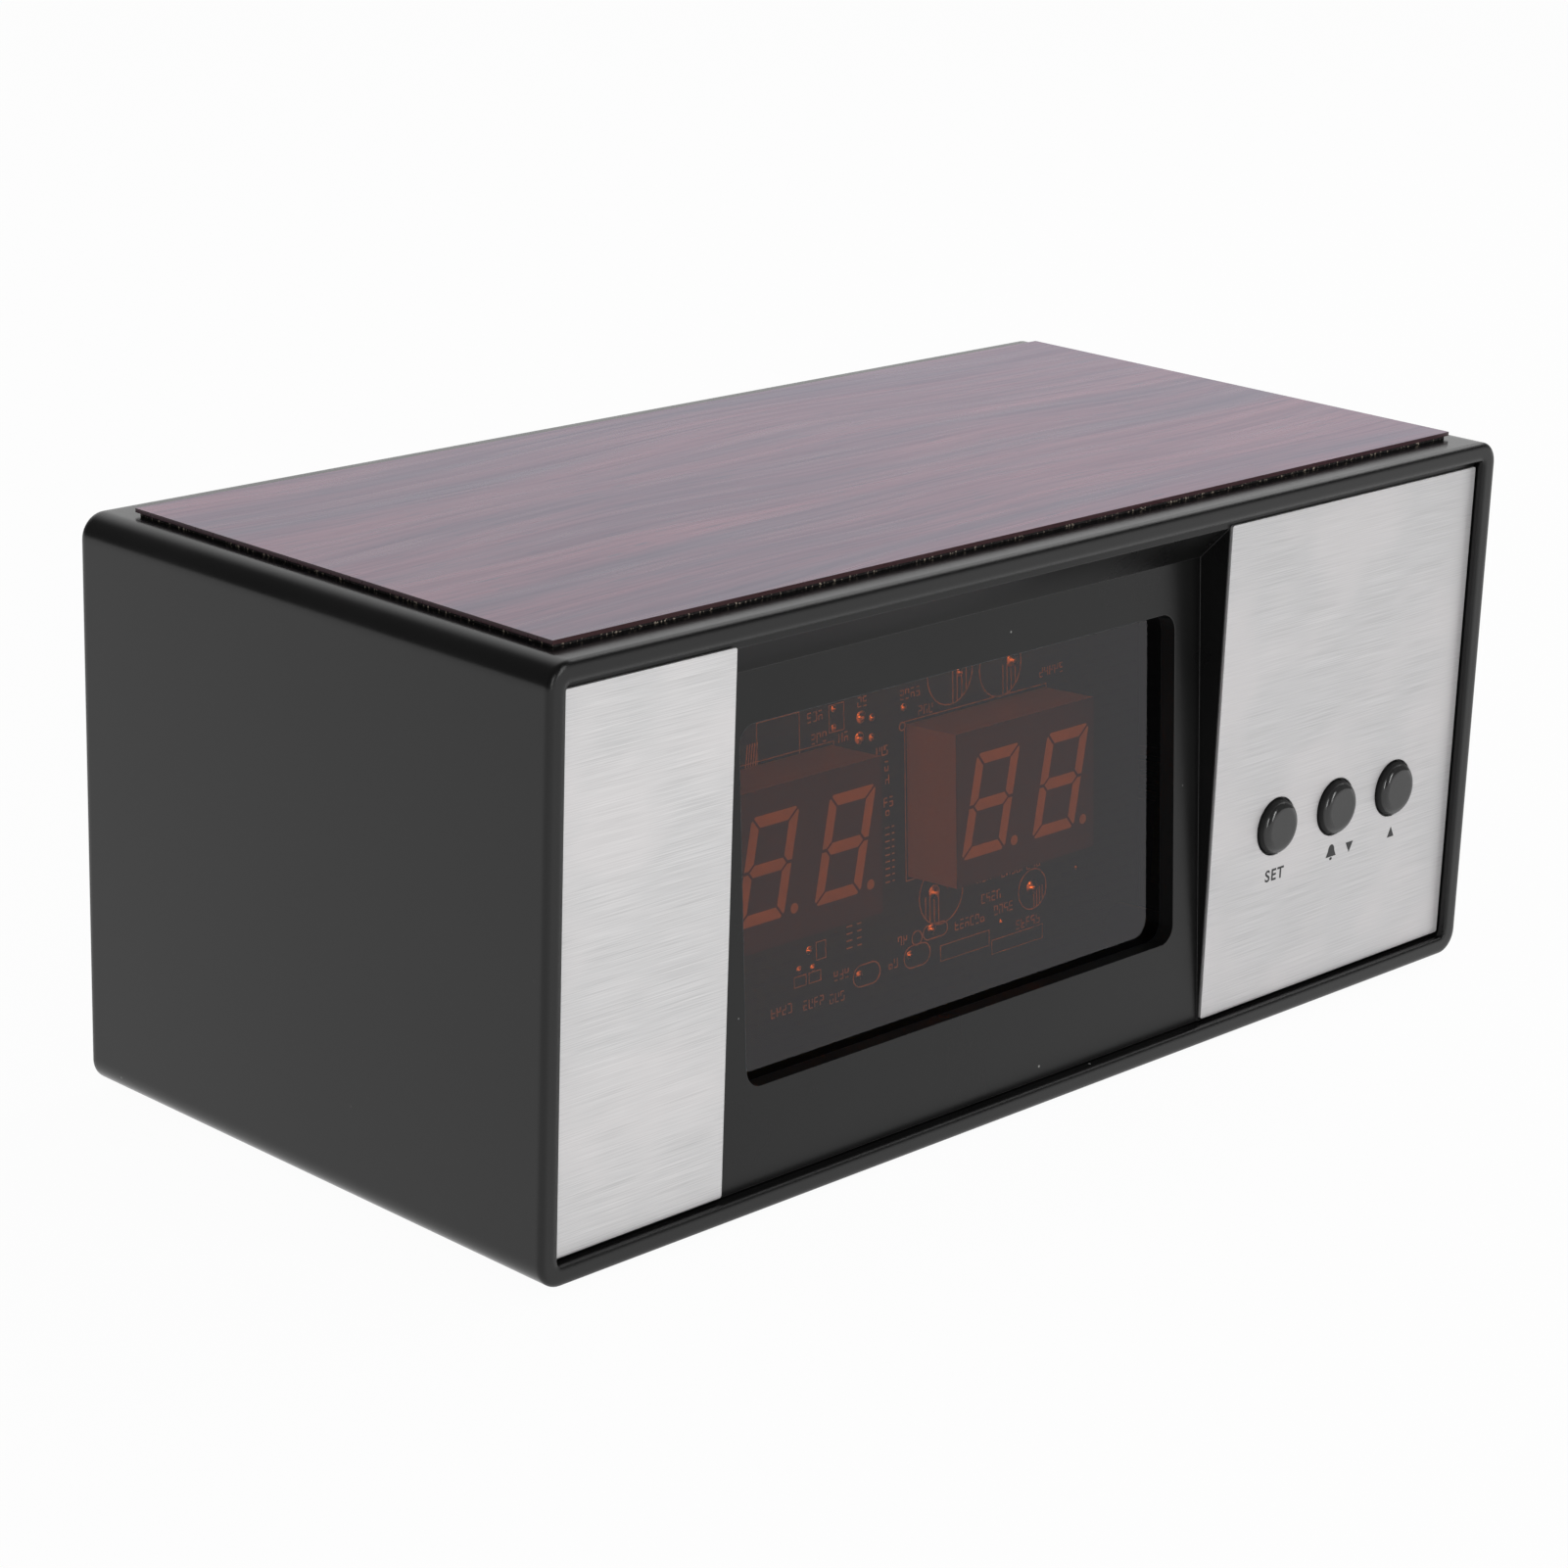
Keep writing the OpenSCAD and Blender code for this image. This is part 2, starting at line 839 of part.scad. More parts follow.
// one resistor per digit bar, side by side between the digit pairs
module resistors() {
  axis_y = board_back + resistor_d / 2 + resistor_lift;
  color([0.75, 0.65, 0.45])
    on_panel()
      for (i = [0 : resistor_count - 1])
        translate([0, axis_y, (i - (resistor_count - 1) / 2) * pin_step])
          union() {
            translate([-resistor_l / 2, 0, 0])
              rotate([0, 90, 0])
                cylinder(d = resistor_d, h = resistor_l);
            translate([-resistor_span / 2, 0, 0])
              rotate([0, 90, 0])
                cylinder(d = resistor_lead, h = resistor_span);
            for (sx = [-1, 1])
              translate([sx * resistor_span / 2, 0, 0])
                rod(resistor_lead, board_back - axis_y, resistor_lead / 2);
          }
}

// the four digit drivers, on three leads each
module transistors() {
  color([0.12, 0.12, 0.12])
    on_panel()
      for (x = transistor_spots)
        translate([x, 0, transistor_v])
          union() {
            along_y(board_back + transistor_lift, board_back + transistor_lift + transistor_l)
              intersection() {
                circle(d = transistor_d);
                translate([-transistor_d / 2, -transistor_d / 2])
                  square([transistor_d, transistor_d * transistor_flat]);
              }
            for (i = [-1 : 1])
              translate([i * lead_step, 0, 0])
                rod(pin_d, board_back, board_back + transistor_lift + eps);
          }
}

module crystal_can() {
  color(metal)
    on_panel()
      translate([crystal_spot[0], 0, crystal_spot[1]])
        along_y(board_back, board_back + crystal_size[2])
          rounded(crystal_size[0], crystal_size[1], crystal_r);
}

module cell_holder() {
  color([0.12, 0.12, 0.12])
    on_panel()
      translate([cell_spot[0], 0, cell_spot[1]])
        difference() {
          rod(holder_d, board_back, board_back + holder_t);
          rod(cell_d + 2 * fit_gap, board_back + holder_floor, board_back + holder_t + eps);
        }
}

module backup_cell() {
  color(metal)
    on_panel()
      translate([cell_spot[0], 0, cell_spot[1]])
        rod(cell_d, board_back + holder_floor, board_back + holder_floor + cell_t);
}

// the spring strap that holds the cell down
module cell_clip() {
  color(metal)
    on_panel()
      translate([cell_spot[0], 0, cell_spot[1]])
        union() {
          translate([-holder_d / 2, board_back + holder_t, -strap_w / 2])
            cube([holder_d, strap_t, strap_w]);
          rod(dimple_d, board_back + holder_floor + cell_t, board_back + holder_t + eps);
        }
}

module alarm_buzzer() {
  color([0.08, 0.08, 0.08])
    on_panel()
      translate([buzzer_spot[0], 0, buzzer_spot[1]])
        difference() {
          rod(buzzer_d, board_back, board_back + buzzer_l);
          rod(buzzer_hole_d, board_back + buzzer_l - buzzer_hole_l, board_back + buzzer_l + eps);
        }
}

// the power inlet: a flanged barrel through the rear cover, closed inside
module power_jack() {
  color([0.1, 0.1, 0.1])
    translate([jack_x, 0, jack_z])
      difference() {
        union() {
          rod(jack_flange_d, cover_back_y, cover_back_y + jack_flange_t);
          rod(jack_d, jack_back_y, cover_back_y + eps);
        }
        rod(jack_bore_d, jack_floor_y, cover_back_y + jack_flange_t + eps);
      }
}

module jack_nut() {
  color(metal)
    translate([jack_x, 0, jack_z])
      difference() {
        along_y(cover_y - nut_t, cover_y)
          circle(d = nut_d, $fn = 6);
        rod(jack_d + 2 * pilot_play, cover_y - nut_t - eps, cover_y + eps);
      }
}

module jack_pin() {
  color(metal)
    translate([jack_x, 0, jack_z])
      rod(jack_pin_d, jack_floor_y, cover_back_y);
}

module jack_terminals() {
  color(metal)
    for (s = [-1, 1])
      translate([jack_x - tab_w / 2, tab_end_y, jack_z + s * power_pitch / 2 - tab_t / 2])
        cube([tab_w, tab_l, tab_t]);
}

// the socket block for the power wires on the display board
module power_plug() {
  color([0.85, 0.85, 0.8])
    on_panel()
      translate([power_x, 0, power_v])
        difference() {
          along_y(board_back, board_back + header_depth)
            square([header_t, power_plug_h], center = true);
          for (s = [-1, 1])
            translate([0, 0, s * power_pitch / 2])
              rod(power_hole_d, board_back + header_depth - wire_hole_l, board_back + header_depth + eps);
        }
}

// a quarter bend of a wire about the centre [x, y], from angle a on
module bend(x, y, r, d, a) {
  translate([x, y, 0])
    rotate([0, 0, a])
      rotate_extrude(angle = 90)
        translate([r, 0])
          circle(d = d);
}

// a round bar along X
module crossbar(d, x0, x1, y) {
  translate([x0, y, 0])
    rotate([0, 90, 0])
      cylinder(d = d, h = x1 - x0);
}

// one power wire from its inlet tab to the display board
module power_wire(s) {
  x0 = jack_x;
  x1 = mid_x + power_x;
  r = power_bend_r;
  y1 = spot_y(power_v, board_back + header_depth) - wire_in;
  translate([0, 0, jack_z + s * power_pitch / 2])
    union() {
      translate([x0, 0, 0])
        rod(power_wire_d, power_turn_y + r, tab_end_y);
      bend(x0 - r, power_turn_y + r, r, power_wire_d, 270);
      crossbar(power_wire_d, x1 + r, x0 - r, power_turn_y);
      bend(x1 + r, power_turn_y - r, r, power_wire_d, 90);
      translate([x1, 0, 0])
        rod(power_wire_d, y1, power_turn_y - r);
    }
}

module power_wire_plus() {
  color([0.7, 0.08, 0.06])
    power_wire(1);
}

module power_wire_minus() {
  color([0.06, 0.06, 0.06])
    power_wire(-1);
}

module button_board() {
  color([0.05, 0.22, 0.12])
    difference() {
      translate([button_x, 0, button_z])
        along_y(keyboard_y, keyboard_back_y)
          square([keyboard_w, keyboard_h], center = true);
      at_key_posts()
        rod(key_screw_d + 2 * screw_play, keyboard_y - eps, keyboard_back_y + eps);
    }
}

module button_board_screws() {
  color(metal)
    at_key_posts()
      translate([0, keyboard_back_y, 0])
        screw(key_head_d, key_head_t, key_screw_d, key_screw_l);
}

// the three push switches behind the buttons
module switch_bodies() {
  color([0.13, 0.13, 0.13])
    for (i = [-1 : 1])
      at_button(i)
        difference() {
          along_y(switch_y, keyboard_y)
            square(switch_w, center = true);
          rod(plunger_d + 2 * plunger_fit, switch_y - eps, switch_y + switch_bore);
        }
}

// heights of the cable's wires about its middle
module at_wires() {
  for (i = [0 : cable_count - 1])
    translate([0, 0, (i - (cable_count - 1) / 2) * cable_pitch])
      children();
}

// one socket block at each end of the button cable
module cable_plugs() {
  color([0.85, 0.85, 0.8]) {
    translate([cable_x0, keyboard_back_y, button_z])
      difference() {
        along_y(0, cable_plug_d)
          square([header_t, cable_plug_h], center = true);
        at_wires()
          rod(cable_hole_d, cable_plug_d - wire_hole_l, cable_plug_d + eps);
      }
    on_panel()
      translate([cable_spot, board_back, cable_v])
        difference() {
          along_y(0, cable_plug_d)
            square([header_t, cable_plug_h], center = true);
          at_wires()
            rod(cable_hole_d, cable_plug_d - wire_hole_l, cable_plug_d + eps);
        }
  }
}

// the four wires from the button board to the display board
module button_cable() {
  r = cable_bend_r;
  y0 = keyboard_back_y + cable_plug_d - wire_in;
  y1 = spot_y(cable_v, board_back + cable_plug_d) - wire_in;
  color([0.5, 0.5, 0.52])
    translate([0, 0, button_z])
      at_wires()
        union() {
          translate([cable_x0, 0, 0])
            rod(cable_d, y0, cable_turn_y - r);
          bend(cable_x0 - r, cable_turn_y - r, r, cable_d, 0);
          crossbar(cable_d, cable_x1 + r, cable_x0 - r, cable_turn_y);
          bend(cable_x1 + r, cable_turn_y - r, r, cable_d, 90);
          translate([cable_x1, 0, 0])
            rod(cable_d, y1, cable_turn_y - r);
        }
}

// a flanged cap with a rounded front edge, its front level with the sleeve's rim
module button_cap() {
  cap_r = button_d / 2;
  face = -front_y;
  color([0.3, 0.3, 0.31])
    rotate([90, 0, 0])
      rotate_extrude() {
        polygon([
          [0, -cap_back_y],
          [cap_r + flange_lap, -cap_back_y],
          [cap_r + flange_lap, -flange_y],
          [cap_r, -flange_y],
          [cap_r, face - button_edge_r],
          [cap_r - button_edge_r, face],
          [0, face]
        ]);
        translate([cap_r - button_edge_r, face - button_edge_r])
          circle(r = button_edge_r);
      }
}

module switch_plunger() {
  color([0.75, 0.72, 0.66])
    rod(plunger_d, cap_back_y, switch_y + plunger_in);
}

module set_button() {
  at_button(-1)
    button_cap();
}

module down_button() {
  at_button(0)
    button_cap();
}

module up_button() {
  at_button(1)
    button_cap();
}

module set_plunger() {
  at_button(-1)
    switch_plunger();
}

module down_plunger() {
  at_button(0)
    switch_plunger();
}

module up_plunger() {
  at_button(1)
    switch_plunger();
}

case_shell();
rear_cover();
rear_cover_screws();
rubber_feet();
panel_pad();
wood_top_panel();
front_bezel();
left_plate();
right_plate();
window_lens();
display_board();
display_board_screws();
hour_display();
minute_display();
hour_segments();
minute_segments();
display_pins();
clock_chip();
chip_legs();
capacitors();
resistors();
transistors();
crystal_can();
cell_holder();
backup_cell();
cell_clip();
alarm_buzzer();
power_jack();
jack_nut();
jack_pin();
jack_terminals();
power_plug();
power_wire_plus();
power_wire_minus();
button_board();
button_board_screws();
switch_bodies();
cable_plugs();
button_cable();
set_button();
down_button();
up_button();
set_plunger();
down_plunger();
up_plunger();
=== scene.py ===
# %% [markdown]
# # A black desk clock with a smoked window
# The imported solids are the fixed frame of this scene: every sleeve, plate, cap and screw is already at its
# real size and place, in metres. This lesson only dresses them. It gives each solid its finish, adds the thin
# things that a solid model leaves out, which are the print and solder on the display board and the marks under
# the caps, and sets up the studio. Nothing that comes from the frame is moved or reshaped.

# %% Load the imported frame
import math
import random

import bmesh
import bpy
from mathutils import Matrix, Vector


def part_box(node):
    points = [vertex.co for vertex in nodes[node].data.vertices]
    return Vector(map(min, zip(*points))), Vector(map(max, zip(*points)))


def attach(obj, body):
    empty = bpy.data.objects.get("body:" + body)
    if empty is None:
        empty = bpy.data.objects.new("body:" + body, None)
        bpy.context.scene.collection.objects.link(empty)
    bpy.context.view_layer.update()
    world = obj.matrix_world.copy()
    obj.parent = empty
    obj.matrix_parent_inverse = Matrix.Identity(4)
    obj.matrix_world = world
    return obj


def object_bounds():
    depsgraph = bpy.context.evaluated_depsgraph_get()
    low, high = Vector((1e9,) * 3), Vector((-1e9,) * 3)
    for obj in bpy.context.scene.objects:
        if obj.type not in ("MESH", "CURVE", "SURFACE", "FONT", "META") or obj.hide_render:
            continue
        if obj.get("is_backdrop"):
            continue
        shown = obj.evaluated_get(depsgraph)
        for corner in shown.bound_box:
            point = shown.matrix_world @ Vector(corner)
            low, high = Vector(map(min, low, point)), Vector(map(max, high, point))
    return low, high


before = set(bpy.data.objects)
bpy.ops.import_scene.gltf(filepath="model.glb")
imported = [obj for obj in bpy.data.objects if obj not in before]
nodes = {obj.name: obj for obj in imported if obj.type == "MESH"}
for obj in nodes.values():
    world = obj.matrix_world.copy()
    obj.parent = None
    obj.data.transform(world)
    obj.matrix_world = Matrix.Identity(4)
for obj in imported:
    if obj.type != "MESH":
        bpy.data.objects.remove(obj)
cad_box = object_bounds()
MM = 0.001


def in_mm(lengths):
    """Lengths in millimetres, rounded for printing."""
    return [round(length / MM, 2) for length in lengths]


print("box in mm:", in_mm(high - low for low, high in zip(*cad_box)))

# %% [markdown]
# ## The camera
# The clock was photographed from its front left corner, a little above it, with a long lens, so that its
# edges run almost parallel. A camera could be turned by three angles, but it is easier to read as a place, a
# point that it looks at, a roll about that line and a focal length. The roll is the small turn of the camera
# that makes the upright edges lean.

# %% Camera
camera_place = Vector((-352.5, -335.35, 187.59)) * MM
camera_aim = Vector((-5.23, 1.17, 31.98)) * MM
camera_roll = math.radians(1.908)
focal_length = 93.99

scene = bpy.context.scene
scene.view_settings.view_transform = "Standard"
camera = bpy.data.objects.new("camera", bpy.data.cameras.new("camera"))
scene.collection.objects.link(camera)
bpy.context.scene.camera = camera
camera.data.lens = focal_length
camera.data.sensor_width = 36.0
camera.data.clip_start = 20.0 * MM
looking = (camera_aim - camera_place).to_track_quat("-Z", "Y").to_matrix().to_4x4()
camera.matrix_world = Matrix.Translation(camera_place) @ looking @ Matrix.Rotation(camera_roll, 4, "Z")
print("camera at, in mm:", in_mm(camera_place), "lens", focal_length)

# %% [markdown]
# ## Node helpers
# A material is a small graph of nodes. Written out socket by socket, each graph would fill a page, so a few
# helpers keep them short enough to read. The first ones make a material, add a node and fill its inputs. The
# others give the sums, mixes, noises and bumps that nearly every finish here needs.


# %% Nodes and their inputs
def new_finish(name):
    """A new node material, its tree and its main shader."""
    material = bpy.data.materials.new(name)
    material.use_nodes = True
    return material, material.node_tree, material.node_tree.nodes["Principled BSDF"]


def fill(tree, node, inputs):
    """Gives each input a socket to link or a value to hold. A colour is three numbers."""
    for key, value in inputs.items():
        if isinstance(value, bpy.types.NodeSocket):
            tree.links.new(value, node.inputs[key])
        elif node.inputs[key].type == "RGBA":
            node.inputs[key].default_value = (*value, 1.0)
        else:
            node.inputs[key].default_value = value


def put(tree, kind, inputs=None, **settings):
    """A new node of any kind, with its settings made and its inputs filled."""
    made = tree.nodes.new(kind)
    for key, value in settings.items():
        setattr(made, key, value)
    fill(tree, made, inputs or {})
    return made


def add(tree, kind, inputs=None, **settings):
    """A new shader node, by the short name of its kind."""
    return put(tree, "ShaderNode" + kind, inputs, **settings)


def plug(tree, shader, **inputs):
    """Fills a shader's inputs, whose names are given with _ for a space."""
    fill(tree, shader, {key.replace("_", " "): value for key, value in inputs.items()})


print("node helpers ready")

# %% Sums and mixes
mix_first, mix_second, mix_result = 6, 7, 2  # the colour sockets of a Mix node


def calc(tree, operation, *values):
    """One operation on sockets or plain numbers."""
    return add(tree, "Math", dict(enumerate(values)), operation=operation).outputs["Value"]


def dot(tree, first, second):
    """How far one vector reaches along another."""
    return add(tree, "VectorMath", {0: first, 1: second}, operation="DOT_PRODUCT").outputs["Value"]


def remap(tree, value, low, high, new_low=0.0, new_high=1.0):
    """The value moved from one range to another, and clamped there."""
    inputs = {"Value": value, "From Min": low, "From Max": high, "To Min": new_low, "To Max": new_high}
    return add(tree, "MapRange", inputs).outputs["Result"]


def mixed(tree, share, first, second):
    """Two colours mixed by a share."""
    inputs = {"Factor": share, mix_first: first, mix_second: second}
    return add(tree, "Mix", inputs, data_type="RGBA").outputs[mix_result]


def darker(colour, share):
    """A colour with every channel multiplied by a share."""
    return tuple(channel * share for channel in colour)


print("sums and mixes ready")


# %% Noise and bumps
def here(tree):
    """The point that is shaded, in the piece's own coordinates."""
    return add(tree, "TexCoord").outputs["Object"]


def noise(tree, place, scale, detail):
    """Noise with the same grain every way. Scale is in grains for each metre."""
    return add(tree, "TexNoise", {"Vector": place, "Scale": scale, "Detail": detail}).outputs["Fac"]


def stretched_noise(tree, place, scale, detail):
    """Noise whose grains have their own size along each axis."""
    spread = add(tree, "Mapping", {"Vector": place, "Scale": scale}).outputs["Vector"]
    return noise(tree, spread, 1.0, detail)


def bumped(tree, height, strength, depth, normal=None):
    """The normal of a surface that is raised by a height, over the plain normal or a given one."""
    inputs = {"Height": height, "Strength": strength, "Distance": depth}
    if normal is not None:
        inputs["Normal"] = normal
    return add(tree, "Bump", inputs).outputs["Normal"]


def flatness(tree, rounded):
    """One on a flat face, and less where a rounded normal turns over an edge."""
    return dot(tree, rounded, add(tree, "NewGeometry").outputs["True Normal"])


print("noise and bumps ready")

# %% [markdown]
# ## The studio
# The clock stands on a white sweep. The world lights it evenly, and a soft box high on the right draws the
# highlight along its front edge. Two low boxes in front of it fill the plates and the window, and leave two
# streaks on the rounded edge of each cap. The white sweep behind is what the top sheet mirrors at a low angle.
# The left side of the studio is left dim, which gives the rounded edges their dark band. More lamps could make
# the background white, but they would bleach the clock too. So a share of pure white is mixed into the floor
# only for what the camera sees directly, mirrored or through glass, and the floor still takes a faint shadow.

# %% World
white = (1.0, 1.0, 1.0)
sweep_side = Vector((0.69, 0.69, 0.2)).normalized()
dim_side = 0.14
even_light = 0.38

world = bpy.data.worlds.new("studio")
world.use_nodes = True
scene.world = world
sky = world.node_tree
facing = dot(sky, add(sky, "TexCoord").outputs["Generated"], sweep_side)
mirrored = remap(sky, facing, 0.6, 0.85, dim_side, 1.0)
rays = add(sky, "LightPath").outputs
in_gloss = add(sky, "Mix", {"Factor": rays["Is Glossy Ray"], "A": even_light, "B": mirrored}).outputs[0]
straight = calc(sky, "MAXIMUM", rays["Is Camera Ray"], rays["Is Transmission Ray"])
level = add(sky, "Mix", {"Factor": straight, "A": in_gloss, "B": 1.0}).outputs[0]
fill(sky, sky.nodes["Background"], {"Color": white, "Strength": level})
print("world: even light", even_light)


# %% Soft boxes
def soft_box(name, place, width, height, radiance):
    """A lamp that faces the clock and that the camera does not see."""
    lamp = bpy.data.objects.new(name, bpy.data.lights.new(name, "AREA"))
    scene.collection.objects.link(lamp)
    lamp.data.shape = "RECTANGLE"
    lamp.data.size, lamp.data.size_y = width, height
    lamp.data.energy = radiance * math.pi * width * height
    lamp.location = place
    lamp.rotation_mode = "QUATERNION"
    lamp.rotation_quaternion = (-place).to_track_quat("-Z", "Y")
    lamp.visible_camera = False
    print(name, "power in watts:", round(lamp.data.energy, 2))


soft_box("right_box", Vector((0.66, -0.02, 0.68)), width=0.52, height=0.52, radiance=2.2)
soft_box("left_front_box", Vector((-0.36, -0.75, 0.24)), width=0.12, height=0.42, radiance=8.5)
soft_box("right_front_box", Vector((0.25, -0.79, 0.24)), width=0.12, height=0.42, radiance=8.5)

# %% Floor
floor_half = 4.0
floor_grey = (0.88, 0.88, 0.88)
white_share = 0.965

floor_mesh = bpy.data.meshes.new("floor")
corners = [(sx * floor_half, sy * floor_half, 0.0) for sx, sy in ((-1, -1), (1, -1), (1, 1), (-1, 1))]
floor_mesh.from_pydata(corners, [], [(0, 1, 2, 3)])
floor = bpy.data.objects.new("floor", floor_mesh)
scene.collection.objects.link(floor)
floor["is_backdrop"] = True

floor_finish, tree, shader = new_finish("white_sweep")
plug(tree, shader, Base_Color=floor_grey, Roughness=0.9)
rays = add(tree, "LightPath").outputs
seen = calc(tree, "MAXIMUM", rays["Is Camera Ray"], rays["Is Glossy Ray"])
seen = calc(tree, "MAXIMUM", seen, rays["Is Transmission Ray"])
glow = add(tree, "Emission", {"Color": white, "Strength": 1.0}).outputs["Emission"]
layers = {0: calc(tree, "MULTIPLY", seen, white_share), 1: shader.outputs["BSDF"], 2: glow}
sweep = add(tree, "MixShader", layers).outputs["Shader"]
fill(tree, tree.nodes["Material Output"], {"Surface": sweep})
floor.data.materials.append(floor_finish)
print("floor reaches", floor_half, "m each way")

# %% [markdown]
# ## Moulded plastic
# The sleeve, the front moulding and the rear cover are the same kind of piece: black plastic from a mould with
# a very fine texture. Its grey comes from what it mirrors, so the colour itself is almost black. Edges could be
# rounded in the mesh, but these solids stay as they are, so the graph does it: it adds the mould texture as a
# bump, slow changes of gloss, a few dust specks, and a small rounding along every edge, because no moulding
# leaves its mould with knife edges. The front moulding's edges are painted a little paler, as a painted highlight.
# The caps are polished on their crowns only; round their sides they are rougher, and darker as painted shade.

# %% Dust, painted edge highlight, and dull sides with painted shade
dust_grey = (0.42, 0.42, 0.41)
# the pale grey of a painted highlight along the front moulding's edges
painted_highlight_grey = (0.09, 0.09, 0.09)
# the near black of the painted shade round the caps' sides
side_shade_black = (0.004, 0.004, 0.004)


def dusted(tree, place, shade, share):
    """Lays a pale speck on a share of many small cells."""
    cells = add(tree, "TexVoronoi", {"Vector": place, "Scale": 220.0}).outputs
    speck = remap(tree, cells["Distance"], 0.02, 0.045, 1.0, 0.0)
    chosen = add(tree, "SeparateColor", {"Color": cells["Color"]}).outputs["Red"]
    kept = remap(tree, chosen, 1.0 - share, 1.0 - share + 0.01)
    return mixed(tree, calc(tree, "MULTIPLY", speck, kept), shade, dust_grey)


def painted_edge_highlight(tree, rounded, shade, share):
    """Pales a colour where the rounded normal turns over an edge, as a painted highlight."""
    return mixed(tree, remap(tree, flatness(tree, rounded), 0.9, 0.99, share, 0.0), shade, painted_highlight_grey)


def dulled_and_shaded(tree, rounded, shade, gloss, added):
    """Roughens what does not face the front, and darkens its colour as painted shade."""
    ahead = add(tree, "SeparateXYZ", {"Vector": rounded}).outputs["Y"]
    side = remap(tree, ahead, -0.7, -0.5)
    return mixed(tree, side, shade, side_shade_black), calc(tree, "MULTIPLY_ADD", side, added, gloss)


print("wear of the plastic ready")


# %% Moulded plastic
def moulded(name, colour, roughness, grain=0.16 * MM, edge=0.25 * MM, mirror=0.5,
            dust=0.0, edge_highlight_share=0.0, dull_and_shaded_side=0.0):
    """Moulded plastic: fine mould texture, uneven gloss, softened edges, dust, and where asked a painted edge
    highlight and painted shade round the sides.
    """
    material, tree, shader = new_finish(name)
    place = here(tree)
    cloud = noise(tree, place, 55.0, 4.0)
    texture = noise(tree, place, 1.0 / grain, 2.0)
    rounded = add(tree, "Bevel", {"Radius": edge}, samples=8).outputs["Normal"]
    gloss = remap(tree, cloud, 0.3, 0.7, roughness - 0.03, roughness + 0.04)
    lighter = tuple(min(1.0, channel * 1.5) for channel in colour)
    shade = mixed(tree, remap(tree, cloud, 0.35, 0.75), colour, lighter)
    if dust:
        shade = dusted(tree, place, shade, dust)
    # painted highlight: a paler colour along the edges
    if edge_highlight_share:
        shade = painted_edge_highlight(tree, rounded, shade, edge_highlight_share)
    # painted shade: a darker colour round the sides, together with real roughening
    if dull_and_shaded_side:
        shade, gloss = dulled_and_shaded(tree, rounded, shade, gloss, dull_and_shaded_side)
    plug(tree, shader, Base_Color=shade, Roughness=gloss, Specular_IOR_Level=mirror,
         Normal=bumped(tree, texture, 0.12, 0.02 * MM, rounded))
    return material


def dress(material, *names):
    """Gives a finish to solids of the frame."""
    for name in names:
        nodes[name].data.materials.clear()
        nodes[name].data.materials.append(material)
    print(material.name, "on", ", ".join(names))


dress(moulded("sleeve_plastic", (0.004, 0.004, 0.004), 0.21, edge=1.0 * MM, mirror=0.37, dust=0.12),
      "case_shell", "rear_cover")
# the front moulding gets a painted highlight along its edges
dress(moulded("front_plastic", (0.006, 0.006, 0.006), 0.29, edge=0.12 * MM, mirror=0.29, dust=0.12, edge_highlight_share=0.6),
      "front_bezel")
# the caps' sides get painted shade and more roughness
dress(moulded("cap_plastic", (0.02, 0.02, 0.02), 0.13, grain=0.1 * MM, edge=0.1 * MM, dull_and_shaded_side=0.6),
      "set_button", "down_button", "up_button")
dress(moulded("plunger_nylon", (0.3, 0.3, 0.28), 0.45), "set_plunger", "down_plunger", "up_plunger")
dress(moulded("soft_rubber", (0.02, 0.02, 0.02), 0.75, grain=0.3 * MM), "rubber_feet")

# %% [markdown]
# ## The wood-grain sheet
# The top is a thin laminate printed as dark red wood, its grain running along the clock. A picture of wood could
# be laid on it, but noise needs no file and never repeats. Stretching noise far along X gives streaks; a slow
# noise that shifts the coordinates first bends them, as a saw cut through year rings does. Three scales are
# enough: broad dark streaks, fine fibres and short pores. Its cut edge is plain brown. Fine dust on the lacquer
# adds a cool haze that shows only at a low angle, which is what sheen does.

# %% Colours of the wood
streak_stops = (
    (0.34, (0.08, 0.015, 0.016)),
    (0.46, (0.145, 0.021, 0.022)),
    (0.56, (0.205, 0.03, 0.03)),
    (0.7, (0.265, 0.047, 0.044)),
)
fibre_dark = (0.012, 0.005, 0.006)
pore_dark = (0.006, 0.003, 0.003)
cut_brown = (0.055, 0.022, 0.022)
cool_haze = (0.35, 0.3, 1.0)


def banded(tree, value, stops):
    """A colour for each stop of a value, blended in between."""
    made = add(tree, "ValToRGB", {"Fac": value})
    elements = made.color_ramp.elements
    for element, (position, colour) in zip(elements, (stops[0], stops[-1])):
        element.position, element.color = position, (*colour, 1.0)
    for position, colour in stops[1:-1]:
        elements.new(position).color = (*colour, 1.0)
    return made.outputs["Color"]


print("wood colours:", len(streak_stops))


